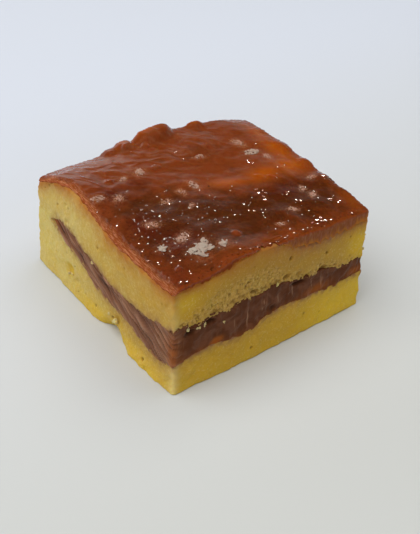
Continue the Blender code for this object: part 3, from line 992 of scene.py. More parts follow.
@dataclass
class Slab:
    """A layer that runs through the piece, as a skin of rings from its underside to its top."""

    name: str
    node: str
    slot: str
    lower: Boundary | None
    upper: Boundary
    per_side: int = 250  # points along each side
    rows: int = 44  # rows of faces up the sides
    inset: float = 0.0  # how far the sides stand in from the outline
    relief: float = 0.28  # height of the broad unevenness of the sides
    relief_size: float = 3.5
    round_top: float = 0.3
    round_bottom: float = 0.25
    lap_below: float = 0.0
    lap_above: float = 0.0
    open_above: Pair = (0.05, 0.5)  # the heights over which the cut face begins
    cap_rings: tuple[float, ...] = (0.9, 0.6, 0.3, 0.0)

    def bottom(self, u: Array, v: Array) -> Array:
        """Heights of the underside."""
        if self.lower is None:
            return np.zeros_like(u)
        return self.lower.height(u, v) - self.lap_below

    def top(self, u: Array, v: Array) -> Array:
        """Heights of the top."""
        return self.upper.height(u, v) + self.lap_above

    def detail(self, skin: Skin) -> Array:
        """The fine relief of the skin, where a kind of layer has one.

        Args:
            skin: The layer's points, on the plain outline.

        Returns:
            How far each of them stands out beyond the broad relief.
        """
        return np.zeros_like(skin.u)

    def paint(self, skin: Skin) -> dict[str, Array]:
        """Colours the skin, as each kind of layer does in its own way.

        Args:
            skin: The layer's finished points.

        Returns:
            What the mesh carries for its finish, by name.
        """
        return {}

    def settle(self, points: Array) -> Array:
        """Moves finished points of a layer, where it doesn't fill the outline."""
        return points

    def rings(self) -> tuple[Array, Array, Array, list[Array]]:
        """Lays the skin out on the square from -1 to 1.

        Returns:
            Places a and b on the square, the share of the layer's height, and for each ring,
            from the middle of the underside to the middle of the top, its vertices.
        """
        t = np.arange(self.per_side) / self.per_side * 2 - 1
        one = np.ones(self.per_side)
        a = np.concatenate([t, one, -t, -one])
        b = np.concatenate([-one, t, one, -t])
        ups = np.arange(self.rows + 1) / self.rows
        steps = [(scale, 0.0) for scale in reversed(self.cap_rings)]
        steps += [(1.0, up) for up in ups]
        steps += [(scale, 1.0) for scale in self.cap_rings]
        places, found = [], []
        count = 0
        for scale, up in steps:
            size = len(a) if scale else 1
            places.append(np.stack([a[:size] * scale, b[:size] * scale, np.full(size, up)]))
            found.append(np.arange(count, count + size))
            count += size
        a, b, up = np.concatenate(places, axis=1)
        return a, b, up, found

    @staticmethod
    def faces_between(rings: list[Array]) -> list[list[int]]:
        """Joins each ring to the next, with a fan at a ring of one vertex.

        Args:
            rings: The vertices of each ring.

        Returns:
            The faces.
        """
        faces = []
        for low, high in zip(rings, rings[1:]):
            if len(low) == 1:
                faces += [[int(low[0]), int(q), int(p)] for p, q in zip(high, np.roll(high, -1))]
            elif len(high) == 1:
                faces += [[int(p), int(q), int(high[0])] for p, q in zip(low, np.roll(low, -1))]
            else:
                corners = (low, np.roll(low, -1), np.roll(high, -1), high)
                faces += np.stack(corners, axis=1).tolist()
        return faces

    def edge_inset(self, from_bottom: Array, from_top: Array) -> Array:
        """Rounds the lower and the upper edge.

        Args:
            from_bottom: How far each place is from the lower edge.
            from_top: How far it is from the upper edge.

        Returns:
            How far the side stands in there.
        """
        found = np.full_like(from_bottom, self.inset)
        for radius, away in ((self.round_top, from_top), (self.round_bottom, from_bottom)):
            short = np.clip(radius - away, 0.0, radius)
            found += radius - np.sqrt(radius**2 - short**2)
        return found

    def build(self) -> Object:
        """Makes the layer's object, with what it carries for its relief and its finish."""
        a, b, up, rings = self.rings()
        return self.build_from(a, b, up, self.faces_between(rings))

    def pour(self, finish: Material) -> Object:
        """Builds the layer, gives it its finish and fastens it."""
        made = self.build()
        made.data.materials.append(finish)
        fasten(made, self.node)
        return made

    def build_from(self, a: Array, b: Array, up: Array, faces: list[list[int]]) -> Object:
        """Lays a layout of the square inside the outline and makes the object from it.

        Args:
            a: Places across the square, from -1 to 1.
            b: Places in its depth.
            up: Shares of the layer's height.
            faces: The faces.

        Returns:
            The object.
        """
        u, v = OUTLINE.spread(a, b)
        low, high = self.bottom(u, v), self.top(u, v)
        rise = (high - low) * up
        z = low + rise
        skin = Skin(u, v, low, high, OUTLINE.in_plan(u, v, z))
        out = self.relief * fractal(skin.points, self.relief_size) - self.edge_inset(rise, high - low - rise)
        out += self.detail(skin)
        skin.points = self.settle(OUTLINE.place(u, v, z, out))
        wall = np.maximum(np.abs(a), np.abs(b)) > 1 - 1e-6
        mesh = bpy.data.meshes.new(self.name)
        mesh.from_pydata(to_frame(skin.points).tolist(), [], faces)
        mesh.shade_smooth()
        carry(mesh, "open", wall * smooth_step(skin.points[:, 2], *self.open_above))
        for name, values in self.paint(skin).items():
            carry(mesh, name, values)
        return add_object(self.name, mesh)


@dataclass
class Cake(Slab):
    """A layer of cake, with its dents, its tones and what soaked into it."""

    front_tone: Line = Line(((0, 0.5), (0.03, 0.9), (0.06, 1.0), (0.95, 1.0), (1, 0.8)))
    left_tone: Line = Line(((0, 0.45), (0.1, 0.55), (0.4, 0.45), (0.75, 0.1), (1, 0.0)))
    # How much painted shade, a darker and duller tone, each side has along it
    front_dull_shade: Line = Line(((0, 0.0), (1, 0.0)))
    left_dull_shade: Line = Line(((0, 0.5), (0.15, 0.55), (0.5, 0.35), (0.8, 0.0), (1, 0.0)))
    front_dents: Patches = ()
    left_dents: Patches = ()
    stain_depth: float = 1.2
    ragged_front: float = 0.5
    ragged_left: float = 0.35
    tear_sizes: Pair = (1.7, 0.8)  # lengths of the coarser and the finer tears
    closing_reach: Pair = (9.5, 5.0)  # from the back left corner, open and closed
    closing_lap: float = 0.5
    # Place, width and strength of the painted highlight of the front left corner
    corner_place: Pair = (-0.3, 0.0)
    corner_radius: float = 1.15
    corner_highlight: float = 0.6
    ripe_glow_right: Pair = (0.55, 0.85)  # shares of the width over which the front turns a brighter, deeper yellow, partly painted glow

    def bake(self, relief: ShapeTree) -> Object:
        """Builds the layer, gives it its crumb and fastens it."""
        made = relief.apply(self.build(), CakeFinish(self.slot).material())
        fasten(made, self.node)
        return made

    def detail(self, skin: Skin) -> Array:
        """The named dents of the two sides that show most."""
        x, y, z = skin.points.T
        return -(summed(self.front_dents, x, z) * skin.front + summed(self.left_dents, y, z) * skin.left)

    def ragged(self, u: Array, v: Array, shift: float) -> Array:
        """Tears the edge along the filling.

        Args:
            u: Shares of the width.
            v: Shares of the depth.
            shift: Moves the tears.

        Returns:
            How far the edge stands above its plain line.
        """
        plan = OUTLINE.at_level(u, v, 0.5)
        front, right, back, left = (nearness(side, u, v) for side in Side)
        coarse, fine = self.tear_sizes
        waves = ripple(plan, coarse, shift) + 0.7 * ripple(plan, fine, shift)
        return waves * (self.ragged_front * (front + right) + self.ragged_left * (left + back))

    def closing(self, u: Array, v: Array) -> tuple[Array, Array]:
        """Closes the two cakes over the filling at the back left corner.

        Args:
            u: Shares of the width.
            v: Shares of the depth.

        Returns:
            From 0 to 1 how closed they are, and how far each of them reaches over the gap.
        """
        plan = OUTLINE.at_level(u, v, 0.5)
        x, y = OUTLINE.base_corners[3]
        closed = smooth_step(np.hypot(plan[:, 0] - x, plan[:, 1] - y), *self.closing_reach)
        gap = FILLING_ROOF.height(u, v) - FILLING_FLOOR.height(u, v)
        return closed, closed * (gap / 2 + self.closing_lap)

    def tones(self, skin: Skin, front: Line, left: Line) -> Array:
        """Reads a tone that differs from side to side.

        Args:
            skin: The layer's points.
            front: The tone along the front and the right.
            left: The tone along the left and the back.

        Returns:
            The tone of each point.
        """
        u, v = skin.u, skin.v
        weights = skin.front + skin.left + skin.right + skin.back + 1e-6
        wiped = skin.wiped * front.read(np.where(skin.front > skin.right, u, v))
        return (wiped + skin.drawn * left.read(np.where(skin.left > skin.back, v, u))) / weights

    def look(self, skin: Skin) -> dict[str, Array]:
        """The tones and the painted shade that both layers carry, and the painted highlight of the front
        left corner.
        """
        x, y = self.corner_place
        corner = np.hypot(skin.points[:, 0] - x, skin.points[:, 1] - y)
        return {
            "tone": self.tones(skin, self.front_tone, self.left_tone),
            "dull": self.tones(skin, self.front_dull_shade, self.left_dull_shade),
            # Painted highlight of the front left corner
            "edge": self.corner_highlight * np.exp(-((corner / self.corner_radius) ** 2)),
        }


@dataclass
class BaseCake(Cake):
    """The lower cake: smooth and dense in front, with a crumbled foot and a notch on the left."""

    foot: Pair = (5.0, 1.5)  # heights at which the crumbled foot ends and is full
    ripe_glow_foot: Pair = (4.5, 1.0)  # heights over which the front turns a brighter, deeper yellow downwards, partly painted glow
    # Spots of brighter, deeper yellow, partly painted glow
    ripe_glow_spots: Patches = (
        Patch(37.6, 5.7, 2.2, 2.6),
        Patch(20.0, 1.0, 40.0, 4.0, 0.75),
        Patch(27.0, 2.0, 14.0, 3.4, 0.8),
        Patch(48.0, 6.0, 8.0, 8.0, 0.3),
        Patch(8.0, 0.8, 22.0, 4.0, 0.7),
    )

    def top(self, u: Array, v: Array) -> Array:
        """Heights of the top, torn along the filling."""
        closed, reach = self.closing(u, v)
        return super().top(u, v) + 0.5 * self.ragged(u, v, 4.0) * (1 - closed) + reach

    def paint(self, skin: Skin) -> dict[str, Array]:
        """Tones, painted shade, glow and highlight, stain under the filling and crumbliness of the foot."""
        _, y, z = skin.points.T
        closed = self.closing(skin.u, skin.v)[0]
        stain = 0.9 * skin.wiped + 0.85 * skin.drawn
        ripe = 0.9 * smooth_step(skin.u, *self.ripe_glow_right) + 0.25 * smooth_step(z, *self.ripe_glow_foot)
        below = np.exp(-(skin.high - z) / self.stain_depth)
        return {
            **self.look(skin),
            # Brighter, deeper yellow at the right end, at the foot and at spots, partly painted glow
            "ripe": held(skin.wiped * ripe + skin.left * strongest(self.ripe_glow_spots, y, z)),
            "soak": np.zeros_like(z),
            "stain": held(stain * (1 - closed) * below),
            "crumbly": held(skin.drawn * smooth_step(z, *self.foot) * 0.15),
        }


@dataclass
class UpperCake(Cake):
    """The upper cake: finely pored, and crumbly in front just above the filling."""

    band: Line = Line((
        (0, 0.3), (0.06, 1.6), (0.17, 4.2), (0.3, 5.4), (0.42, 5.6), (0.52, 3.2),
        (0.62, 1.6), (0.72, 2.4), (0.82, 1.8), (0.92, 0.8), (1, 0.4),
    ))
    band_edge: float = 1.3  # half the width over which the crumbly band ends
    band_waves: Wave = Wave(1.2, 2.0)
    smudge_depth: float = 1.4
    dull_shade_depth: float = 2.0  # of the strip under the glaze that has less painted shade
    smudge: Line = Line(((0, 0.0), (0.36, 0.0), (0.55, 0.8), (0.7, 1.0), (0.9, 0.9), (1, 0.4)))
    soaked_down: Line = Line(((0, 1.0), (0.2, 1.3), (0.3, 2.2), (0.5, 2.6), (0.62, 1.5), (1, 0.9)))
    left_soak_depth: float = 2.3
    soak_depth: float = 0.9
    left_band: Pair = (1.5, 0.2)  # heights over the filling; the left's band ends and is full there
    # Where the front turns a brighter, deeper yellow, partly painted glow
    ripe_glow_right: Pair = (0.84, 0.98)
    step_back: float = 0.45
    step_reach: Pair = (-0.3, 0.7)  # heights over the glaze's lower edge
    stand_up: float = 1.0
    # A spot of brighter, deeper yellow, partly painted glow
    ripe_glow_spots: Patches = (Patch(2.6, 21.0, 5.0, 4.0, 0.7),)
    burnt: Patches = (
        Patch(27.5, 20.4, 0.7, 0.7, edge=3.0),
        Patch(26.6, 16.5, 1.6, 0.8, edge=3.0),
        Patch(30.1, 16.0, 1.6, 1.0, 0.35, edge=3.0),
        Patch(32.3, 14.2, 1.6, 0.8, 1.0, 10.0, 3.0),
        Patch(36.7, 14.2, 2.6, 2.0, 1.0, 10.0, 3.0),
        Patch(18.4, 16.4, 1.9, 0.7, 1.0, -20.0, 3.0),
        Patch(23.5, 16.2, 2.4, 1.0, 0.9, 20.0, 3.0),
        Patch(13.0, 16.6, 1.3, 0.6, 1.0, 10.0, 3.0),
        Patch(9.3, 16.0, 1.8, 0.8, 1.0, 10.0, 3.0),
        Patch(15.6, 16.9, 1.2, 0.5, 0.9, 30.0, 3.0),
    )

    def bottom(self, u: Array, v: Array) -> Array:
        """Heights of the underside, torn along the filling."""
        closed, reach = self.closing(u, v)
        return super().bottom(u, v) + self.ragged(u, v, 0.0) * (1 - closed) - reach

    def top(self, u: Array, v: Array) -> Array:
        """Heights of the top, which stands up behind the ragged edge of the glaze."""
        gap = GLAZE_TOP.height(u, v) - self.upper.height(u, v)
        return super().top(u, v) + np.minimum(self.stand_up, 0.3 * gap)

    def detail(self, skin: Skin) -> Array:
        """The dents, and the step back behind the glaze."""
        above = skin.points[:, 2] - self.upper.height(skin.u, skin.v)
        return super().detail(skin) - self.step_back * smooth_step(above, *self.step_reach)

    def paint(self, skin: Skin) -> dict[str, Array]:
        """Tones, painted shade, glow and highlight, soak under the glaze, stains and the crumbly band."""
        points, u, v, front = skin.points, skin.u, skin.v, skin.front
        x, _, z = points.T
        above, below = z - skin.low, self.upper.height(u, v) - z
        band = self.band.read(np.where(front > skin.right, u, v))
        uneven = above + waved(points, self.band_waves)
        crumbly = smooth_step(uneven, band + self.band_edge, band - self.band_edge)
        crumbly = (front + 0.5 * skin.right) * crumbly
        crumbly += skin.drawn * 0.25 * smooth_step(above, *self.left_band)
        strokes = 0.7 + 0.6 * ripple(points, (0.5, 0.5, 2.5), 3.0)
        smudge = front * self.smudge.read(u) * strokes * np.exp(-below / self.smudge_depth)
        stain = np.exp(-above / self.stain_depth) * (1 - self.closing(u, v)[0])
        down = front * self.soaked_down.read(u)
        down = down + self.left_soak_depth * skin.left + self.soak_depth * (skin.right + skin.back)
        look = self.look(skin)
        # Less painted shade just under the glaze
        look["dull"] = look["dull"] * held(1 - 0.5 * np.exp(-below / self.dull_shade_depth))
        return {
            **look,
            # Brighter, deeper yellow towards the right end and at a spot, partly painted glow
            "ripe": front * (0.8 * smooth_step(u, *self.ripe_glow_right) + strongest(self.ripe_glow_spots, x, z)),
            "burnt": front * strongest(self.burnt, x + 0.3 * ripple(points, 0.6), z),
            "soak": held(0.95 * np.exp(-below / (down + 0.1))),
            "stain": held(0.95 * stain * skin.drawn + 0.35 * stain * front + smudge),
            "crumbly": held(crumbly),
        }


@dataclass
class Filling(Slab):
    """The caramel between the cakes, drawn out by the knife on the left, streaked in front."""

    pinch_pull: float = 5.0
    pinch_radius: float = 12.0
    drag_slope: float = 26.0  # degrees below the level, towards the front
    drag_size: Pair = (5.5, 0.5)  # length and width of a drag line
    drag_depth: float = 0.34
    streak_size: Pair = (0.5, 5.0)
    highlight_drag: Pair = (0.0, 0.9)  # from where to where a drag line gets a painted highlight
    # From where to where the groove of a drag line gets painted shade
    drag_groove_shade: Pair = (-0.2, -0.9)
    # Where the front's streaks get a painted highlight
    highlight_streaks: Pair = (0.45, 0.9)
    crack_depth: float = 0.7  # of the pockets too
    streak_depth: float = 0.07
    front_waves: Wave = Wave(0.25, 1.6, 6.0)
    glow_height: float = 0.5  # of the lower edge that the light shines through
    # Spots where a glow of light through the caramel is painted
    ember_glows: Patches = (
        Patch(-0.5, 10.5, 2.6, 7.0, 0.9),
        Patch(9.4, 8.9, 3.8, 1.9, 1.0, 8.0, 4.0),
        Patch(47.0, 9.7, 5.0, 2.2, 0.9),
        Patch(24.0, 9.6, 1.6, 1.0, 0.5),
        Patch(35.5, 9.8, 8.0, 2.2, 0.75),
    )
    left_ember_glows: Patches = (
        Patch(0.2, 9.5, 3.2, 9.0, 0.9),
        Patch(43.0, 15.2, 4.0, 1.8),
    )
    # Cracks of the left side, dented and darkened with painted shade
    cracks: Patches = (
        Patch(31.0, 14.6, 6.0, 0.6, 1.0, 27.0, 4.0),
        Patch(27.0, 12.9, 5.0, 0.5, 1.0, 18.0, 4.0),
        Patch(20.0, 11.6, 6.0, 0.5, 0.8, 5.0, 4.0),
        Patch(12.0, 12.3, 7.0, 0.6, 0.9, 24.0, 4.0),
        Patch(5.0, 11.0, 5.0, 0.5, 0.8, 40.0, 4.0),
    )
    # Pockets of the front, dented and darkened with painted shade
    pockets: Patches = (
        Patch(23.5, 10.4, 1.2, 1.8, 0.6, edge=3.0),
        Patch(3.4, 13.4, 2.4, 1.2, 0.9, 10.0, 4.0),
        Patch(8.0, 14.2, 2.6, 0.9, 0.8, edge=4.0),
        Patch(30.0, 13.6, 4.0, 0.8, 0.8, -8.0, 4.0),
    )
    glints: Patches = (
        Patch(16.9, 11.8, 0.16, 5.0, 1.0, 2.0, 4.0),
        Patch(20.9, 12.4, 0.14, 4.0, 0.7, -8.0, 4.0),
        Patch(24.6, 12.9, 0.14, 3.4, 0.6, 4.0, 4.0),
        Patch(28.6, 12.2, 0.16, 3.6, 0.8, 2.0, 4.0),
        Patch(34.0, 12.0, 0.18, 3.6, 0.7, 14.0, 4.0),
        Patch(36.6, 11.5, 0.24, 3.8, 0.9, 3.0, 4.0),
        Patch(13.8, 10.8, 0.2, 3.6, 0.5, 6.0, 4.0),
    )

    def settle(self, points: Array) -> Array:
        """Draws the outline back from the back left corner, where the two cakes meet.

        Args:
            points: The finished points, one a row.

        Returns:
            The points in their last places.
        """
        x, y = OUTLINE.base_corners[3]
        reach = np.hypot(points[:, 0] - x, points[:, 1] - y) / self.pinch_radius
        pull = self.pinch_pull * held(1 - reach) ** 2 / math.sqrt(2)
        return points + pull[:, None] * np.array((1.0, -1.0, 0.0))

    def drag(self, points: Array) -> Array:
        """Draws the long drag lines of the left side.

        Args:
            points: Places, one a row.

        Returns:
            From about -1 between the lines to 1 at their crests.
        """
        x, y, z = points.T
        slope = math.radians(self.drag_slope)
        along = y * math.cos(slope) + z * math.sin(slope)
        across = z * math.cos(slope) - y * math.sin(slope) + 0.35 * ripple(points, 3.0, 5.0)
        length, width = self.drag_size
        lines = np.stack([along / length, across / width, x / length], axis=1)
        fine = ripple(lines * (1, 2.3, 1), 1.0, 7.0)
        return 1.2 * ripple(lines, 1.0) + 0.9 * ripple(lines * (0.7, 0.4, 1), 1.0, 2.0) + 0.5 * fine

    def streaks(self, points: Array) -> Array:
        """The upright streaks of the front, from -1 to 1."""
        width, height = self.streak_size
        lines = points / (width, width, height)
        return ripple(lines, 1.0) + 0.5 * ripple(lines * (2.1, 2.1, 1), 1.0, 3.0)

    def detail(self, skin: Skin) -> Array:
        """Drag lines on the left and back, gentler streaks in front and on the right."""
        x, y, z = skin.points.T
        out = self.drag_depth * self.drag(skin.points) * skin.drawn
        waves = waved(skin.points, self.front_waves)
        out += (self.streak_depth * self.streaks(skin.points) + waves) * skin.wiped
        out -= self.crack_depth * strongest(self.cracks, y, z) * skin.left
        out -= self.crack_depth * strongest(self.pockets, x, z) * skin.front
        return out

    def paint(self, skin: Skin) -> dict[str, Array]:
        """Where it is satin, where painted highlights run along its drag lines and streaks, where a painted
        glow shows at its edges, and where painted shade darkens its cracks.
        """
        x, y, z = skin.points.T
        drag, streaks = self.drag(skin.points), self.streaks(skin.points)
        # Painted highlights on the crests of the drag lines and the streaks, and painted glints
        light = skin.drawn * smooth_step(drag, *self.highlight_drag) * 0.7
        light += skin.wiped * smooth_step(streaks, *self.highlight_streaks) * 0.25
        above = np.maximum(z - self.lower.height(skin.u, skin.v), 0)
        # Painted glow along the lower edge, where light shines through
        edge = np.exp(-above / self.glow_height) * (0.45 + 0.35 * ripple(skin.points, 1.5, 8.2))
        # Painted shade in the drag lines' grooves, the cracks and the pockets
        cracks = (
            skin.drawn * smooth_step(drag, *self.drag_groove_shade) * 0.8,
            strongest(self.cracks, y, z) * skin.left,
            strongest(self.pockets, x, z) * skin.front,
        )
        # Painted glow of light through the caramel
        ember_glows = (
            strongest(self.ember_glows, x, z) * skin.front,
            edge * skin.wiped,
            strongest(self.left_ember_glows, y, z) * skin.left,
        )
        return {
            "dragged": held(skin.drawn),
            "streak": held(np.maximum(light, 0.8 * strongest(self.glints, x, z) * skin.front)),
            "ember": held(np.max(ember_glows, axis=0)),
            "crack": held(np.max(cracks, axis=0)),
        }


@dataclass
class Glaze(Slab):
    """The caramel glaze: lumpy and wrinkled on top, a thin torn rim down the cut sides."""

    per_side: int = 280
    lumps: Patches = (
        Patch(15.6, 48.8, 3.0, 3.4, 0.9, edge=3.0),
        Patch(19.4, 48.3, 4.4, 4.6, 1.3, edge=4.0),
        Patch(27.4, 48.8, 9.4, 7.0, 2.1, edge=6.0),
        Patch(38.8, 48.4, 3.6, 4.0, edge=3.0),
        Patch(16.0, 1.5, 8.0, 8.0, 0.4),
        Patch(49.5, 15.5, 5.0, 5.0, 0.7, edge=3.0),
        Patch(50.5, 22.5, 3.0, 4.0, 0.5, edge=3.0),
        Patch(50.0, 9.0, 3.0, 4.0, 0.4, edge=3.0),
        Patch(50.8, 31.0, 3.0, 5.0, 0.4, edge=3.0),
        Patch(33.0, 20.0, 12.0, 12.0, 0.4),
    )
    ripple_height: float = 0.4
    ripple_length: float = 7.0
    chamfer: float = 1.4  # width of the torn slope along the left edge
    chamfer_drop: float = 0.7
    wrinkle_heading: float = -39.5  # degrees in plan
    wrinkle_size: Pair = (4.0, 2.1)
    wrinkle_height: float = 0.1
    wrinkled: Patches = (
        Patch(8.0, 42.0, 34.0, 22.0, 1.0, 20.0),
        Patch(30.0, 42.0, 26.0, 18.0, 0.8),
        Patch(40.0, 26.0, 20.0, 12.0, 0.3),
    )
    hammered: Patches = (
        Patch(16.0, 20.0, 34.0, 30.0),
        Patch(36.0, 9.0, 30.0, 18.0),
        Patch(4.0, 25.0, 10.0, 50.0, 0.8),
        Patch(46.0, 12.0, 12.0, 18.0, 0.8),
        Patch(10.0, 3.0, 26.0, 12.0),
        Patch(25.0, 0.3, 60.0, 2.4),
    )
    hammer_height: float = 0.03
    hammer_size: float = 1.1
    # Where the amber of thin caramel and a painted glow of light through it show
    glows: Patches = (
        Patch(29.5, 23.9, 9.0, 3.6, 0.8, -27.0),
        Patch(38.0, 22.8, 10.0, 5.2, 0.9, 5.0),
        Patch(45.5, 23.5, 9.0, 7.0, 1.0, 20.0),
        Patch(48.0, 30.0, 5.0, 14.0, 0.9, -4.0),
        Patch(49.5, 39.0, 4.5, 12.0, 0.7, -4.0),
        Patch(47.8, 6.0, 4.0, 10.0, 0.35),
        Patch(22.0, 3.5, 18.0, 4.0, 0.12),
        Patch(19.4, 49.6, 4.0, 3.0, 0.6),
        Patch(25.5, 50.6, 7.0, 3.4, 0.8),
        Patch(39.0, 49.6, 4.0, 2.6, 0.8),
    )
    thicks: Patches = (
        Patch(17.0, 19.0, 26.0, 14.0, 1.0, -38.0),
        Patch(35.0, 11.5, 32.0, 14.0, 1.0, -10.0),
        Patch(13.0, 9.0, 20.0, 10.0, 0.7, -10.0),
        Patch(9.0, 28.0, 10.0, 8.0, 0.4, -38.0),
        Patch(7.0, 16.0, 12.0, 16.0, 0.8),
        Patch(26.0, 4.0, 46.0, 6.0, 0.3),
        Patch(43.0, 14.0, 12.0, 12.0, 0.6),
        Patch(31.0, 37.0, 12.0, 8.0, 0.35, -30.0),
    )
    reds: Patches = (
        Patch(6.4, 31.0, 7.0, 6.0, 0.9),
        Patch(5.9, 19.4, 6.0, 8.0),
        Patch(8.0, 12.0, 9.0, 8.0, 0.9),
        Patch(12.0, 33.0, 9.0, 6.0, 0.5),
        Patch(2.5, 3.5, 7.0, 7.0, 0.5),
        Patch(38.0, 16.0, 12.0, 5.0, 0.6),
    )
    bubbles: Patches = (
        Patch(23.3, 45.5, 1.8, 1.8, 0.45, edge=4.0),
        Patch(18.5, 46.7, 1.3, 1.3, 0.4, edge=4.0),
        Patch(30.5, 35.6, 1.6, 1.6, 0.35, edge=4.0),
        Patch(19.9, 36.8, 1.7, 1.7, 0.3, edge=4.0),
        Patch(18.7, 7.7, 1.9, 1.9, 0.35, edge=4.0),
        Patch(3.4, 4.9, 1.4, 1.4, 0.35, edge=4.0),
        Patch(7.9, 36.7, 1.9, 1.9, 0.35, edge=4.0),
        Patch(36.4, 22.0, 1.2, 2.6, 0.4, 20.0, 4.0),
        Patch(38.4, 20.4, 1.0, 2.2, 0.4, 20.0, 4.0),
    )
    sparkles: Patches = (
        Patch(17.0, 17.5, 26.0, 14.0, 0.4, -30.0),
        Patch(6.0, 14.0, 12.0, 26.0, 0.5),
        Patch(9.0, 30.0, 14.0, 10.0, 0.12),
        Patch(1.0, 22.0, 2.0, 46.0, 0.2),
        Patch(37.0, 9.0, 26.0, 12.0, 0.16),
        Patch(26.0, 1.8, 60.0, 1.6, 1.0, 1.2),
    )
    smear_line: Line = Line(((0, 0.0), (0.42, 0.0), (0.55, 0.9), (0.7, 1.0), (1, 1.0)))
    frosts: Patches = ()
    thread_size: Pair = (12.0, 0.8)
    thread_height: float = 0.05
    thread_ends: tuple[Pair, ...] = ((5.5, 3.0), (34.0, 27.0), (3.0, 12.0))  # back, right, left
    rim_start: Pair = (0.3, 0.8)  # how far below the top the rim begins, and is full
    fibre_width: float = 0.7  # how far the fibres reach past the chamfer
    fold_highlight_strength: float = 0.34
    pool_depth: float = 3.0  # how much thicker the glaze looks in its small hollows
    frost_waves: tuple[Wave, Wave] = (Wave(0.6, 0.9, 1.7), Wave(0.6, 0.9, 6.1))
    plain_sparkle: float = 0.02
    crest_start: Pair = (0.0, 0.25)  # depths at which the painted glow along the rim's crest begins and is full
    crest_end: Pair = (0.7, 0.3)
    top_skin: Pair = (0.3, 0.0)  # how far down what is on top still shows
    stroke_size: Triple = (0.5, 0.5, 3.0)
    hair_size: Triple = (0.4, 3.0, 0.3)
    hair_slope: float = 0.8
    small_waves: tuple[Wave, ...] = (Wave(0.13, 2.8, 5.3), Wave(0.03, 1.4, 2.3))
    underside_tears: tuple[Wave, ...] = (Wave(0.35, 0.8, 3.3), Wave(0.6, 2.4, 9.3))
    runs: tuple[Wave, ...] = (Wave(0.6, (0.5, 5.0, 5.0), 6.3), Wave(0.8, (1.3, 5.0, 5.0), 2.3))

    def top(self, u: Array, v: Array) -> Array:
        """Heights of the glaze's surface, with its lumps and ripples."""
        plan = OUTLINE.at_level(u, v)
        height = self.upper.height(u, v) + OUTLINE.dome(u, v)
        height += summed(self.lumps, plan[:, 0], plan[:, 1])
        height -= self.chamfer_drop * smooth_step(self.inwards(u, plan, 0.6), self.chamfer, 0.1)
        return height + self.ripple_height * ripple(plan, self.ripple_length) + self.relief_at(plan)

    def bottom(self, u: Array, v: Array) -> Array:
        """Heights of the underside, ragged at the sides, where the knife drew the caramel down."""
        plan = OUTLINE.at_level(u, v)
        ragged = waved(plan, *self.underside_tears) * (1 - 0.5 * nearness(Side.LEFT, u, v))
        ragged += nearness(Side.FRONT, u, v) * self.smear_line.read(u) * waved(plan, *self.runs)
        return self.lower.height(u, v) + OUTLINE.dome(u, v) - self.lap_below + ragged

    def inwards(self, u: Array, plan: Array, tear: float) -> Array:
        """How far places lie inwards of the left edge, which is torn as deep as is said."""
        return u * OUTLINE.base_corners[1][0] + tear * ripple(plan, (1.2, 2.4, 1.0), 4.3)

    def folds(self, plan: Array) -> tuple[Array, Array]:
        """Draws the fine folds of the top.

        Args:
            plan: Places on the top, one a row.

        Returns:
            The crests of the folds, 1 at their tops, and how strongly a place is folded.
        """
        x, y = plan[:, 0], plan[:, 1]
        heading = math.radians(self.wrinkle_heading)
        along = x * math.cos(heading) + y * math.sin(heading)
        across = y * math.cos(heading) - x * math.sin(heading)
        across = across + 1.8 * ripple(plan, 4.5, 2.3)
        length, width = self.wrinkle_size
        lines = np.stack([along / length, across / width, np.zeros_like(x)], axis=1)
        crests = 1 - 3.5 * np.abs(ripple(lines, 1.0, 4.3))
        return crests, held(summed(self.wrinkled, x, y))

    def threads(self, plan: Array) -> Array:
        """Draws the long threads along the left half of the front edge.

        Args:
            plan: Places on the top, one a row.

        Returns:
            From 0 between the threads to 1 at their crests.
        """
        x, y = plan[:, 0], plan[:, 1]
        length, width = self.thread_size
        lines = np.stack([x / length, (y + 0.3 * ripple(plan, 5.0, 4.4)) / width, np.zeros_like(x)], axis=1)
        back, right, left = self.thread_ends
        near = smooth_step(y, *back) * smooth_step(x, *right) * smooth_step(x, *left)
        return near * smooth_step(ripple(lines, 1.0, 5.1), 0.0, 0.5)

    def relief_at(self, plan: Array) -> Array:
        """Adds up the fine relief of the top: folds, small waves, threads and bubbles.

        Args:
            plan: Places on the top, one a row.

        Returns:
            Its height at each place.
        """
        x, y = plan[:, 0], plan[:, 1]
        crests, folded = self.folds(plan)
        height = self.wrinkle_height * folded * np.maximum(crests, -0.3)
        height += waved(plan, *self.small_waves)
        dents = ripple(plan, self.hammer_size, 8.3)
        height += self.hammer_height * dents * held(summed(self.hammered, x, y))
        return height + self.thread_height * self.threads(plan) + summed(self.bubbles, x, y)

    def build(self) -> Object:
        """Makes the object, with a fine grid for the top instead of rings."""
        a, b, up, rings = self.rings()
        walls = rings[: -len(self.cap_rings)]
        keep = int(walls[-1][0])
        n = self.per_side
        grid = np.arange(n + 1) / n * 2 - 1
        across, deep = np.meshgrid(grid, grid)
        a = np.concatenate([a[:keep], across.ravel()])
        b = np.concatenate([b[:keep], deep.ravel()])
        up = np.concatenate([up[:keep], np.ones((n + 1) ** 2)])
        index = keep + np.arange((n + 1) ** 2).reshape(n + 1, n + 1)
        walls[-1] = np.concatenate([index[0, :-1], index[:-1, -1], index[-1, :0:-1], index[:0:-1, 0]])
        corners = np.stack([index[:-1, :-1], index[:-1, 1:], index[1:, 1:], index[1:, :-1]], axis=-1)
        faces = self.faces_between(walls) + corners.reshape(-1, 4).tolist()
        return self.build_from(a, b, up, faces)

    def detail(self, skin: Skin) -> Array:
        """Fine strokes down the rim, coarser where it is torn on the left."""
        x, y, z = skin.points.T
        strokes = skin.points / self.stroke_size
        hairs = np.stack([x, y + self.hair_slope * z, z], axis=1) / self.hair_size
        out = 0.22 * ripple(strokes, 1.0, 1.3) + 0.12 * ripple(strokes * 2.2, 1.0, 6.3)
        return out * (1 - 0.7 * skin.left) + 0.08 * ripple(hairs, 1.0, 2.3) * skin.left

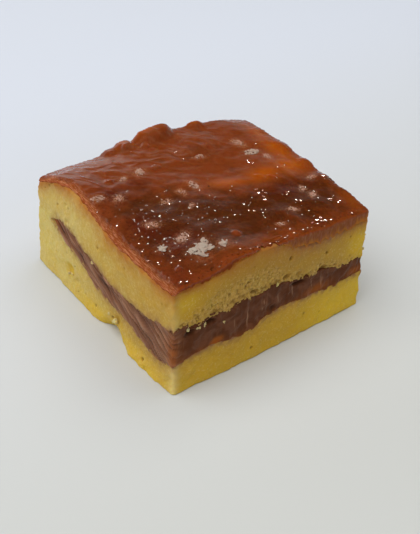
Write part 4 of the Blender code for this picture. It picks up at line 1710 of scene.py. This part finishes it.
    def paint(self, skin: Skin) -> dict[str, Array]:
        """Where the glaze is thin, thick or red, where it is smeared down a side, and where a painted glow
        and painted highlights on its folds show.
        """
        x, y, z = skin.points.T
        plan = skin.points * (1, 1, 0) + (0, 0, OUTLINE.top_level)
        front, above, below = skin.front, z - skin.low, skin.high - z
        rim = smooth_step(z, *(skin.high - drop for drop in self.rim_start))
        crest = front * smooth_step(below, *self.crest_end) * smooth_step(below, *self.crest_start)
        smear = front * self.smear_line.read(skin.u) + skin.right * 0.7
        threads = 0.3 * self.threads(plan) + 0.15 * (front * (1 - smear)) * rim
        smear = held(smear * rim)
        inwards = self.inwards(skin.u, plan, 0.5) + 0.5 * above
        torn = smooth_step(inwards, self.chamfer + self.fibre_width, 0.2)
        left = nearness(Side.LEFT, skin.u, skin.v, 60.0)
        rub = np.exp(-above / (0.5 + 0.7 * smear)) * (skin.wiped + 0.7 * left) * rim
        fibre = held(torn * 0.85 + skin.back * rim * 0.6)
        crests, folded = self.folds(plan)
        on_top = smooth_step(below, *self.top_skin)
        sunk = -self.pool_depth * self.relief_at(plan) * (1 - folded) * on_top
        # Amber of thin caramel, and painted glow of light through it
        glow = strongest(self.glows, x, y) * (1 - 0.6 * rim)
        frost_x, frost_y = (place + waved(plan, wave) for place, wave in zip((x, y), self.frost_waves))
        return {
            "glow": np.max([glow, 0.3 * crest, threads], axis=0),
            "thick": held(summed(self.thicks, x, y) + sunk),
            "red": held(strongest(self.reds, x, y)),
            # Painted highlight along the crests of the folds
            "fold": held(folded * smooth_step(crests, 0.3, 0.95) * on_top * self.fold_highlight_strength),
            "smear": smear,
            "rub": rub,
            "fibre": fibre,
            "matt": np.max([smear, fibre, rub, 0.8 * skin.wiped * rim, 0.35 * glow], axis=0),
            "frost": strongest(self.frosts, frost_x, frost_y) * on_top,
            "sparkle": held(self.plain_sparkle + summed(self.sparkles, x, y)) * on_top,
        }


@dataclass(frozen=True)
class Cluster:
    """A cluster of salt crystals: its place, its width and how it is made up."""

    x: float
    y: float
    width: float
    count: int
    clear: float = 0.4  # from 0, white, to 1, clear
    heap: float = 0.05  # how high it is heaped, as a share of its width
    grain: Pair = (0.25, 0.7)
    arms: int = 0

    @property
    def turn(self) -> float:
        """The heading of its longer way, in degrees, another for every place."""
        return (self.x * 37 + self.y * 59) % 180

    @property
    def squeeze(self) -> float:
        """How wide it is across its longer way, as a share."""
        return 1.0 if self.arms else 0.6


@dataclass
class Grains:
    """Grains that lie at given places, each with its size, its turn and how clear it is."""

    name: str
    places: list[Vector] = field(default_factory=list)
    sizes: list[Vector] = field(default_factory=list)
    turns: list[Vector] = field(default_factory=list)
    clears: list[float] = field(default_factory=list)

    def add(self, place: Vector, size: Vector, turn: Vector, clear: float = 0.0) -> None:
        """Adds one grain, in the piece's millimetres.

        Args:
            place: Its middle, with its height above the glaze or, where it isn't lifted, its own.
            size: How long it is along each of its axes.
            turn: How it is turned about them.
            clear: How clear it is, from 0 to 1.
        """
        self.places.append(place)
        self.sizes.append(size)
        self.turns.append(turn)
        self.clears.append(clear)

    def lift(self, glaze: Glaze) -> None:
        """Raises the grains, whose heights count from the glaze, onto it."""
        plan = np.array(self.places)
        for place, height in zip(self.places, glaze.top(*OUTLINE.shares(plan[:, 0], plan[:, 1]))):
            place.z += height

    def build(self, tree: ShapeTree, finish: Material, **sizes: Any) -> Object:
        """Makes all the grains as one mesh.

        Args:
            tree: What makes a grain at each place.
            finish: Their material.
            sizes: Inputs of the tree that differ from its own.

        Returns:
            The object.
        """
        mesh = bpy.data.meshes.new("places")
        mesh.from_pydata(to_frame(np.array(self.places)).tolist(), [], [])
        carry(mesh, "grow", np.array(self.sizes) * MM)
        carry(mesh, "turn", np.array(self.turns))
        carry(mesh, "clear", np.array(self.clears))
        source = add_object("places", mesh)
        made = tree.apply(source, finish, self.name, **sizes)
        bpy.data.objects.remove(source)
        return made


@dataclass
class Salt:
    """The sea salt on the glaze, in clusters and in single grains."""

    clusters: tuple[Cluster, ...] = (
        Cluster(10.4, 7.5, 4.0, 34, 0.15, 0.1, (0.8, 1.7), 3),
        Cluster(12.0, 8.9, 2.2, 12, 0.25, 0.1, (0.5, 1.2), 2),
        Cluster(8.6, 7.9, 2.4, 14, 0.15, 0.1, (0.5, 1.2), 2),
        Cluster(9.4, 5.8, 2.4, 14, 0.2, 0.1, (0.5, 1.2), 3),
        Cluster(11.8, 6.7, 2.0, 12, 0.25, 0.1, (0.4, 1.1), 2),
        Cluster(14.1, 5.9, 2.6, 18, 0.3, 0.14, (0.5, 1.3), 3),
        Cluster(5.0, 12.1, 2.6, 14, 0.15, 0.12, (0.6, 1.4), 3),
        Cluster(9.7, 12.7, 3.2, 50, 0.7, grain=(0.3, 0.8)),
        Cluster(41.9, 31.6, 3.6, 60, 0.4, 0.1, (0.4, 1.2)),
        Cluster(41.8, 36.5, 3.2, 48, 0.95, grain=(0.3, 0.8)),
        Cluster(43.7, 28.5, 2.4, 26, 0.95, grain=(0.3, 0.8)),
        Cluster(22.6, 27.1, 3.0, 46, 0.7, grain=(0.3, 0.8)),
        Cluster(15.7, 36.8, 3.1, 46, 0.75, grain=(0.3, 0.8)),
        Cluster(2.8, 31.6, 2.8, 38, 0.75, grain=(0.3, 0.9)),
        Cluster(33.9, 8.9, 2.0, 26, 0.85),
        Cluster(41.6, 11.3, 2.3, 30, 0.85, grain=(0.25, 0.75)),
        Cluster(41.5, 14.5, 1.9, 20, 0.85),
        Cluster(30.5, 35.6, 2.0, 24, 0.85),
        Cluster(11.3, 36.1, 1.8, 18, 0.9),
        Cluster(6.6, 30.0, 2.8, 30, 0.9, grain=(0.2, 0.6)),
        Cluster(17.4, 20.5, 1.5, 14, 0.8, grain=(0.2, 0.6)),
        Cluster(28.3, 6.1, 1.5, 14, 0.8, grain=(0.2, 0.6)),
        Cluster(46.3, 16.9, 1.9, 18, 0.9),
        Cluster(7.3, 19.2, 2.6, 30, 0.95, grain=(0.2, 0.5)),
        Cluster(14.5, 24.6, 2.2, 20, 0.9, grain=(0.2, 0.55)),
        Cluster(19.0, 26.0, 2.2, 20, 0.85, grain=(0.2, 0.55)),
    )
    seed: int = 5
    cloud: Pair = (1.3, 1.35)  # how much larger than a cluster its cloud is
    outer_share: float = 0.55  # how much smaller its crystals are at its edge
    needle: tuple[Pair, float] = ((0.4, 0.8), 0.5)  # breadth, and how loosely it follows its arm
    chip: tuple[Pair, float] = ((0.7, 1.0), 3.0)  # the same where a cluster has no arms
    flatness: Pair = (0.15, 0.3)  # thickness of a crystal, as a share of its length
    lean: float = 0.4  # how far a crystal leans at most
    clear_spread: float = 0.2

    def patches(self) -> Patches:
        """Where the clusters have clouded the glaze round them."""
        long, wide = self.cloud
        return tuple(
            Patch(c.x, c.y, long * c.width, wide * c.width * c.squeeze, 0.1 + 0.8 * c.clear, c.turn, 2.5)
            for c in self.clusters
        )

    def build(self, glaze: Glaze, tree: ShapeTree, finish: Material) -> Object:
        """Sets the crystals of the clusters on the glaze.

        Args:
            glaze: The glaze.
            tree: What makes a crystal at each place.
            finish: Their material.

        Returns:
            The object.
        """
        rng = random.Random(self.seed)
        grains = Grains("salt_flakes")
        for cluster in self.clusters:
            start, turn = rng.uniform(0, math.tau), math.radians(cluster.turn)
            narrow, loose = self.needle if cluster.arms else self.chip
            for _ in range(cluster.count):
                heading = rng.uniform(0, math.tau)
                spike = abs(math.cos((heading - start) * cluster.arms / 2)) ** 3
                reach = cluster.width / 2 * (0.5 + 0.5 * spike) * math.sqrt(rng.random())
                share = 2 * reach / cluster.width
                grain = rng.uniform(*cluster.grain) * (1.15 - self.outer_share * share)
                rise = cluster.heap * cluster.width * (1 - share) * rng.random() * 0.6
                ahead, aside = math.cos(heading) * reach, math.sin(heading) * reach * cluster.squeeze
                x = cluster.x + ahead * math.cos(turn) - aside * math.sin(turn)
                y = cluster.y + ahead * math.sin(turn) + aside * math.cos(turn)
                size = Vector((grain, grain * rng.uniform(*narrow), grain * rng.uniform(*self.flatness)))
                lean_x, lean_y = around(rng, self.lean), around(rng, self.lean)
                turned = Vector((lean_x, lean_y, heading + around(rng, loose)))
                clear = min(1.0, max(0.0, cluster.clear + around(rng, self.clear_spread)))
                grains.add(Vector((x, y, rise + 0.1 * grain)), size, turned, clear)
        grains.lift(glaze)
        return grains.build(tree, finish, Unevenness=0.07 * MM, Ripple=0.5 * MM)


@dataclass
class Drops:
    """The larger drops of the glaze, some of them in short worm-like rows."""

    rows: tuple[tuple[Knots, float], ...] = (
        (((38.6, 29.2), (38.2, 28.2), (38.8, 27.6)), 0.9),
        (((32.4, 18.6), (32.0, 17.2), (31.9, 15.6), (31.2, 14.4)), 1.0),
        (((33.4, 17.6), (33.2, 16.4)), 0.7),
        (((48.4, 15.5),), 1.4),
        (((37.3, 14.4), (36.6, 13.8)), 0.8),
        (((36.9, 11.3), (37.4, 10.6)), 0.8),
        (((43.6, 8.3),), 0.9),
        (((45.1, 7.0), (44.4, 6.6)), 0.9),
        (((38.8, 2.9),), 0.7),
        (((34.5, 3.7), (36.0, 4.0), (37.3, 4.3), (36.8, 3.3), (35.2, 3.0)), 0.9),
        (((44.6, 2.8),), 0.8),
        (((26.0, 13.1), (26.8, 12.4)), 0.7),
        (((44.8, 23.7),), 0.6),
        (((44.9, 34.1),), 0.8),
        (((27.3, 40.4),), 0.7),
        (((27.1, 37.1),), 0.7),
        (((5.4, 34.0),), 0.7),
        (((14.4, 23.9),), 0.8),
        (((6.3, 18.9),), 0.7),
        (((1.7, 22.7), (1.5, 13.7), (1.0, 10.8), (5.1, 9.1), (2.0, 9.2)), 0.6),
    )
    seed: int = 8
    sunk: float = 0.07  # how deep a drop sits in the glaze, as a share of its width
    length: Pair = (0.9, 1.3)  # the shortest and the longest, as shares of its width
    breadth: Pair = (0.6, 0.8)
    thickness: float = 0.4

    def build(self, glaze: Glaze, tree: ShapeTree, finish: Material) -> Object:
        """Sets the drops on the glaze.

        Args:
            glaze: The glaze.
            tree: What makes a drop at each place.
            finish: Their material.

        Returns:
            The object.
        """
        rng = random.Random(self.seed)
        grains = Grains("glaze_drops")
        for row, width in self.rows:
            for x, y in row:
                long, wide = rng.uniform(*self.length), rng.uniform(*self.breadth)
                size = Vector((width * long, width * wide, width * self.thickness))
                turned = Vector((0.0, 0.0, rng.uniform(0, math.tau)))
                grains.add(Vector((x, y, -self.sunk * width)), size, turned)
        grains.lift(glaze)
        return grains.build(tree, finish, Unevenness=0.05 * MM, Ripple=0.7 * MM, Sides=4, Smooth=True)


@dataclass(frozen=True)
class Scatter:
    """Small grains strewn over a layer, where its mesh says."""

    name: str
    slot: str
    sizes: dict[str, Any]

    def strew(self, tree: ShapeTree, layer: Object, finish: Material) -> Object:
        """Strews the grains and fastens them."""
        made = tree.apply(layer, finish, self.name, **self.sizes)
        fasten(made)
        return made


def toward(azimuth: float, elevation: float) -> tuple[Vector, Matrix]:
    """Finds the way from the piece to a lamp or to the camera.

    Args:
        azimuth: Degrees from the front, anticlockwise seen from above.
        elevation: Degrees above the level.

    Returns:
        The way, and the turn of what looks back along it.
    """
    across, up = math.radians(azimuth), math.radians(elevation)
    level = math.cos(up)
    way = Vector((math.sin(across) * level, -math.cos(across) * level, math.sin(up)))
    return way, way.to_track_quat("Z", "Y").to_matrix().to_4x4()


@dataclass(frozen=True)
class Lamp:
    """A soft lamp: where it hangs, as seen from the piece, its size and its strength."""

    name: str
    azimuth: float  # degrees from the front, anticlockwise seen from above
    elevation: float  # degrees
    distance: float
    size: float
    power: float
    colour: Colour = (1.0, 1.0, 1.0)
    lights: bool = True  # whether it lights matt surfaces; otherwise only some things mirror it
    gleams: bool = True  # whether glossy surfaces mirror it

    def hang(self) -> Object:
        """Hangs the lamp, turned to the middle of the piece."""
        lamp = bpy.data.lights.new(self.name, "AREA")
        lamp.shape = "DISK"
        lamp.size = self.size
        lamp.energy = self.power
        lamp.color = self.colour
        obj = add_object(self.name, lamp)
        obj.visible_diffuse = self.lights
        obj.visible_glossy = self.gleams
        way, turn = toward(self.azimuth, self.elevation)
        middle = Vector((0.0, 0.0, OUTLINE.top_level / 2 * MM))
        obj.matrix_world = Matrix.Translation(middle + way * self.distance) @ turn
        return obj


@dataclass
class Studio:
    """The pale floor, the soft light and the camera."""

    floor_size: float = 4.0
    lamps: tuple[Lamp, ...] = (
        Lamp("key", -105.0, 62.0, 1.0, 1.0, 7.7, gleams=False),
        Lamp("fill", 95.0, 66.0, 1.0, 1.0, 4.0, gleams=False),
        Lamp("sky", 0.0, 80.0, 1.2, 1.6, 2.6, gleams=False),
        Lamp("glint_a", 122.0, 42.0, 0.7, 0.10, 12.0, WARM, lights=False),
        Lamp("glint_b", 160.0, 48.0, 0.7, 0.10, 12.0, WARM, lights=False),
        Lamp("glint_c", 138.0, 62.0, 0.7, 0.10, 10.0, WARM, lights=False),
    )
    camera_azimuth: float = -39.49
    camera_elevation: float = 36.95
    camera_roll: float = 4.58
    camera_distance: float = 156.0
    camera_target: Triple = (19.94, 16.33, 12.0)
    focal_pixels: float = 760.0
    photo_height: float = 534.0
    centre_drop: float = 1.5  # pixels from the target up to where the photograph has it
    sensor: float = 36.0
    room_colour: Colour = (0.97, 0.97, 0.95)
    room_light: Pair = (0.81, 0.06)  # its strength near the level, and overhead
    room_right: float = 0.3  # how much of it is left on the right

    def lay_floor(self) -> None:
        """Lays the floor under the piece."""
        half = self.floor_size / 2
        corners = [(x * half, y * half, 0) for x, y in ((-1, -1), (1, -1), (1, 1), (-1, 1))]
        mesh = bpy.data.meshes.new("floor")
        mesh.from_pydata(corners, [], [(0, 1, 2, 3)])
        mesh.materials.append(FloorFinish().material())
        add_object("floor", mesh)

    def light(self, gleaming: list[Object]) -> None:
        """Hangs the lamps and sets the soft light of the room, brighter near the level.

        Args:
            gleaming: The only things on which the lamps that light nothing else are mirrored.
        """
        chosen = bpy.data.collections.new("gleaming")
        for obj in gleaming:
            chosen.objects.link(obj)
        for lamp in self.lamps:
            hung = lamp.hang()
            if not lamp.lights:
                hung.light_linking.receiver_collection = chosen
        world = bpy.data.worlds.new("room")
        world.use_nodes = True
        t = Tree(world.node_tree)
        parts = t.node("ShaderNodeSeparateXYZ", {0: t.node("ShaderNodeTexCoord").outputs["Generated"]})
        bright = t.ramp(parts.outputs[2], 0.2, 0.6, *self.room_light)
        bright = t.times(bright, t.ramp(parts.outputs[0], 0.3, 0.65, 1.0, self.room_right))
        background = world.node_tree.nodes["Background"]
        world.node_tree.links.new(bright, background.inputs["Strength"])
        background.inputs["Color"].default_value = (*self.room_colour, 1.0)
        bpy.context.scene.world = world
        bpy.context.scene.view_settings.view_transform = "Standard"

    def stand_camera(self) -> None:
        """Stands the camera where the photograph was taken from."""
        way, turn = toward(self.camera_azimuth, self.camera_elevation)
        turn = turn @ Matrix.Rotation(math.radians(self.camera_roll), 4, "Z")
        tilt = -math.atan(self.centre_drop / self.focal_pixels)
        place = Vector(to_frame(np.array(self.camera_target))) + way * self.camera_distance * MM
        data = bpy.data.cameras.new("camera")
        data.sensor_width = data.sensor_height = self.sensor
        data.lens = self.focal_pixels * self.sensor / self.photo_height
        data.clip_start = 0.005
        obj = add_object("camera", data)
        obj.matrix_world = Matrix.Translation(place) @ turn @ Matrix.Rotation(tilt, 4, "X")
        bpy.context.scene.camera = obj


BASE = BaseCake(
    name="base_cake",
    node="cake_base",
    slot="base_cake",
    lower=None,
    upper=FILLING_FLOOR,
    round_top=0.2,
    lap_above=0.15,
    ragged_front=0.35,
    front_dull_shade=Line(((0, 0.0), (0.3, 0.2), (0.6, 0.15), (0.85, 0.0), (1, 0.0))),
    left_dents=(
        Patch(37.4, 5.7, 2.6, 2.6, 1.2, edge=3.0),
        Patch(35.0, 4.2, 3.0, 1.4, 0.5, -30.0),
        Patch(19.1, 4.8, 2.0, 2.0, 0.5),
    ),
)
UPPER = UpperCake(
    name="upper_cake",
    node="cake_top",
    slot="upper_cake",
    lower=FILLING_ROOF,
    upper=GLAZE_FLOOR,
    inset=0.1,
    round_bottom=0.3,
    front_dull_shade=Line((
        (0, 0.0), (0.06, 0.15), (0.12, 0.5), (0.25, 0.95), (0.6, 1.0), (0.85, 0.75), (1, 0.0),
    )),
    front_dents=(
        Patch(27.5, 20.4, 0.9, 0.9, 0.7, edge=3.0),
        Patch(26.6, 16.5, 1.6, 0.8, 0.8, edge=3.0),
        Patch(30.1, 15.9, 1.6, 0.8, 0.5, edge=3.0),
        Patch(18.4, 16.3, 2.0, 0.9, 0.9, -20.0, 3.0),
        Patch(36.7, 14.0, 2.4, 1.8, 0.6, 10.0, 3.0),
    ),
    left_dents=(
        Patch(39.0, 21.0, 0.8, 0.8, 0.5, edge=3.0),
        Patch(38.5, 17.5, 0.8, 0.8, 0.5, edge=3.0),
    ),
)
FILLING = Filling(
    name="caramel_filling_layer",
    node="caramel_filling",
    slot="filling_caramel",
    lower=FILLING_FLOOR,
    upper=FILLING_ROOF,
    rows=32,
    inset=0.1,
    relief=0.2,
    round_top=0.1,
    round_bottom=0.1,
    lap_below=0.45,
    lap_above=0.6,
)
SALT = Salt()
GLAZE = Glaze(
    name="caramel_glaze_sheet",
    node="caramel_glaze",
    slot="caramel_glaze",
    lower=GLAZE_FLOOR,
    upper=GLAZE_TOP,
    rows=14,
    relief=0.0,
    round_top=0.8,
    round_bottom=0.4,
    frosts=SALT.patches(),
)
UPPER_CRUMBS = Scatter(
    "upper_crumbs",
    "upper_cake",
    {"Density": 1.8e6, "Smallest": 0.2 * MM, "Largest": 0.55 * MM},
)
GLAZE_BEADS = Scatter(
    "glaze_beads",
    "caramel_glaze",
    {
        "Where": "sparkle",
        "Density": 7.5e5,
        "Smallest": 0.3 * MM,
        "Largest": 0.75 * MM,
        "Flatness": 0.35,
        "Narrowness": 0.65,
        "Sunk": 0.1,
        "Unevenness": 0.01 * MM,
        "Ripple": 0.6 * MM,
        "Tilt": 0.1,
        "Seed": 4,
    },
)
# White grains: partly salt, partly painted glints
SALT_GLINT_SPECKS = Scatter(
    "salt_glint_specks",
    "sea_salt",
    {
        "Where": "sparkle",
        "Density": 0.8e5,
        "Smallest": 0.15 * MM,
        "Largest": 0.4 * MM,
        "Sides": 1,
        "Smooth": False,
        "Unevenness": 0.02 * MM,
    },
)


@dataclass(frozen=True)
class Crumb:
    """A crumb that sticks to a side: where, how large, and how far it stands out."""

    side: Side
    along: float  # millimetres from the front left, along x or y
    z: float
    size: float
    out: float = 0.0


@dataclass
class StuckCrumbs:
    """Single crumbs of cake on the cut sides, on the filling and at the foot."""

    crumbs: tuple[Crumb, ...] = (
        Crumb(Side.FRONT, 5.5, 13.9, 1.5, -0.3),
        Crumb(Side.FRONT, 7.0, 14.0, 1.1, -0.3),
        Crumb(Side.FRONT, 11.4, 12.6, 1.1, -0.3),
        Crumb(Side.FRONT, 3.0, 14.6, 1.1, -0.3),
        Crumb(Side.FRONT, 24.6, 15.7, 1.1, -0.3),
        Crumb(Side.LEFT, 21.7, 4.5, 1.0),
        Crumb(Side.LEFT, 19.3, 4.4, 1.4, 0.1),
        Crumb(Side.LEFT, 20.3, 3.6, 0.9, 0.1),
        Crumb(Side.LEFT, 36.6, 5.0, 0.9, -0.2),
        Crumb(Side.LEFT, 37.8, 4.6, 0.8, -0.1),
        Crumb(Side.LEFT, 28.0, 13.5, 0.8),
        Crumb(Side.RIGHT, 0.6, 17.5, 0.9, -0.2),
        Crumb(Side.RIGHT, 0.4, 14.0, 0.8, -0.2),
        Crumb(Side.RIGHT, 21.2, 23.6, 1.0, -0.2),
    )
    seed: int = 3
    front_length: float = 50.0
    side_length: float = 51.0
    per_crumb: int = 3  # how many grains make up one crumb
    apart: float = 0.25  # how far the grains lie apart, as a share of the crumb's size
    grain: Pair = (0.5, 0.85)  # size of a grain, as a share of it too

    def build(self, tree: ShapeTree, finish: Material) -> Object:
        """Sets the crumbs on the outline.

        Args:
            tree: What makes a grain at each place.
            finish: Their material.

        Returns:
            The object.
        """
        rng = random.Random(self.seed)
        grains = Grains("stuck_crumbs")
        for crumb in self.crumbs:
            length = self.side_length if crumb.side in (Side.LEFT, Side.RIGHT) else self.front_length
            for _ in range(self.per_crumb):
                along = crumb.along + around(rng, self.apart) * crumb.size
                z = crumb.z + around(rng, self.apart) * crumb.size
                share = along / length
                u, v = {
                    Side.FRONT: (share, 0.0),
                    Side.LEFT: (0.0, share),
                    Side.RIGHT: (1.0, share),
                    Side.BACK: (share, 1.0),
                }[crumb.side]
                place = OUTLINE.place(*np.array([[u], [v], [z], [crumb.out]]))[0]
                size = crumb.size * rng.uniform(*self.grain)
                turned = Vector([rng.uniform(0, 3.0) for _ in range(3)])
                grains.add(Vector(place), Vector((size, size * 0.8, size * 0.7)), turned)
        return grains.build(tree, finish, Unevenness=0.3 * MM, Ripple=0.45 * MM, Smooth=True)


def main() -> None:
    """Builds the layers in order from the bottom, then the salt and the studio."""
    relief, strewn, placed = crumb_relief(), scattered_grains(), placed_grains()
    BASE.bake(relief)
    upper = UPPER.bake(relief)
    # Paler than the cake: a painted highlight on the standing crumbs
    crumb_highlight_finish = CakeFinish("loose_crumb_highlight", pale=(0.72, 0.55, 0.23)).material()
    UPPER_CRUMBS.strew(strewn, upper, crumb_highlight_finish)
    fasten(StuckCrumbs().build(placed, crumb_highlight_finish))
    FILLING.pour(FillingFinish().material())
    glaze_finish = GlazeFinish().material()
    glaze = GLAZE.pour(glaze_finish)
    fasten(SALT.build(GLAZE, placed, SaltFinish().material()), "caramel_glaze")
    beads = GLAZE_BEADS.strew(strewn, glaze, glaze_finish)
    drops = Drops().build(GLAZE, placed, glaze_finish)
    fasten(drops)
    # White grains: partly salt, partly painted glints
    glint_white_salt = SaltFinish("glint_white_salt", white=(0.9, 0.88, 0.84), plain=True).material()
    specks = SALT_GLINT_SPECKS.strew(strewn, glaze, glint_white_salt)
    studio = Studio()
    studio.lay_floor()
    studio.light([beads, drops, specks])
    studio.stand_camera()


if __name__ == "__main__":
    main()
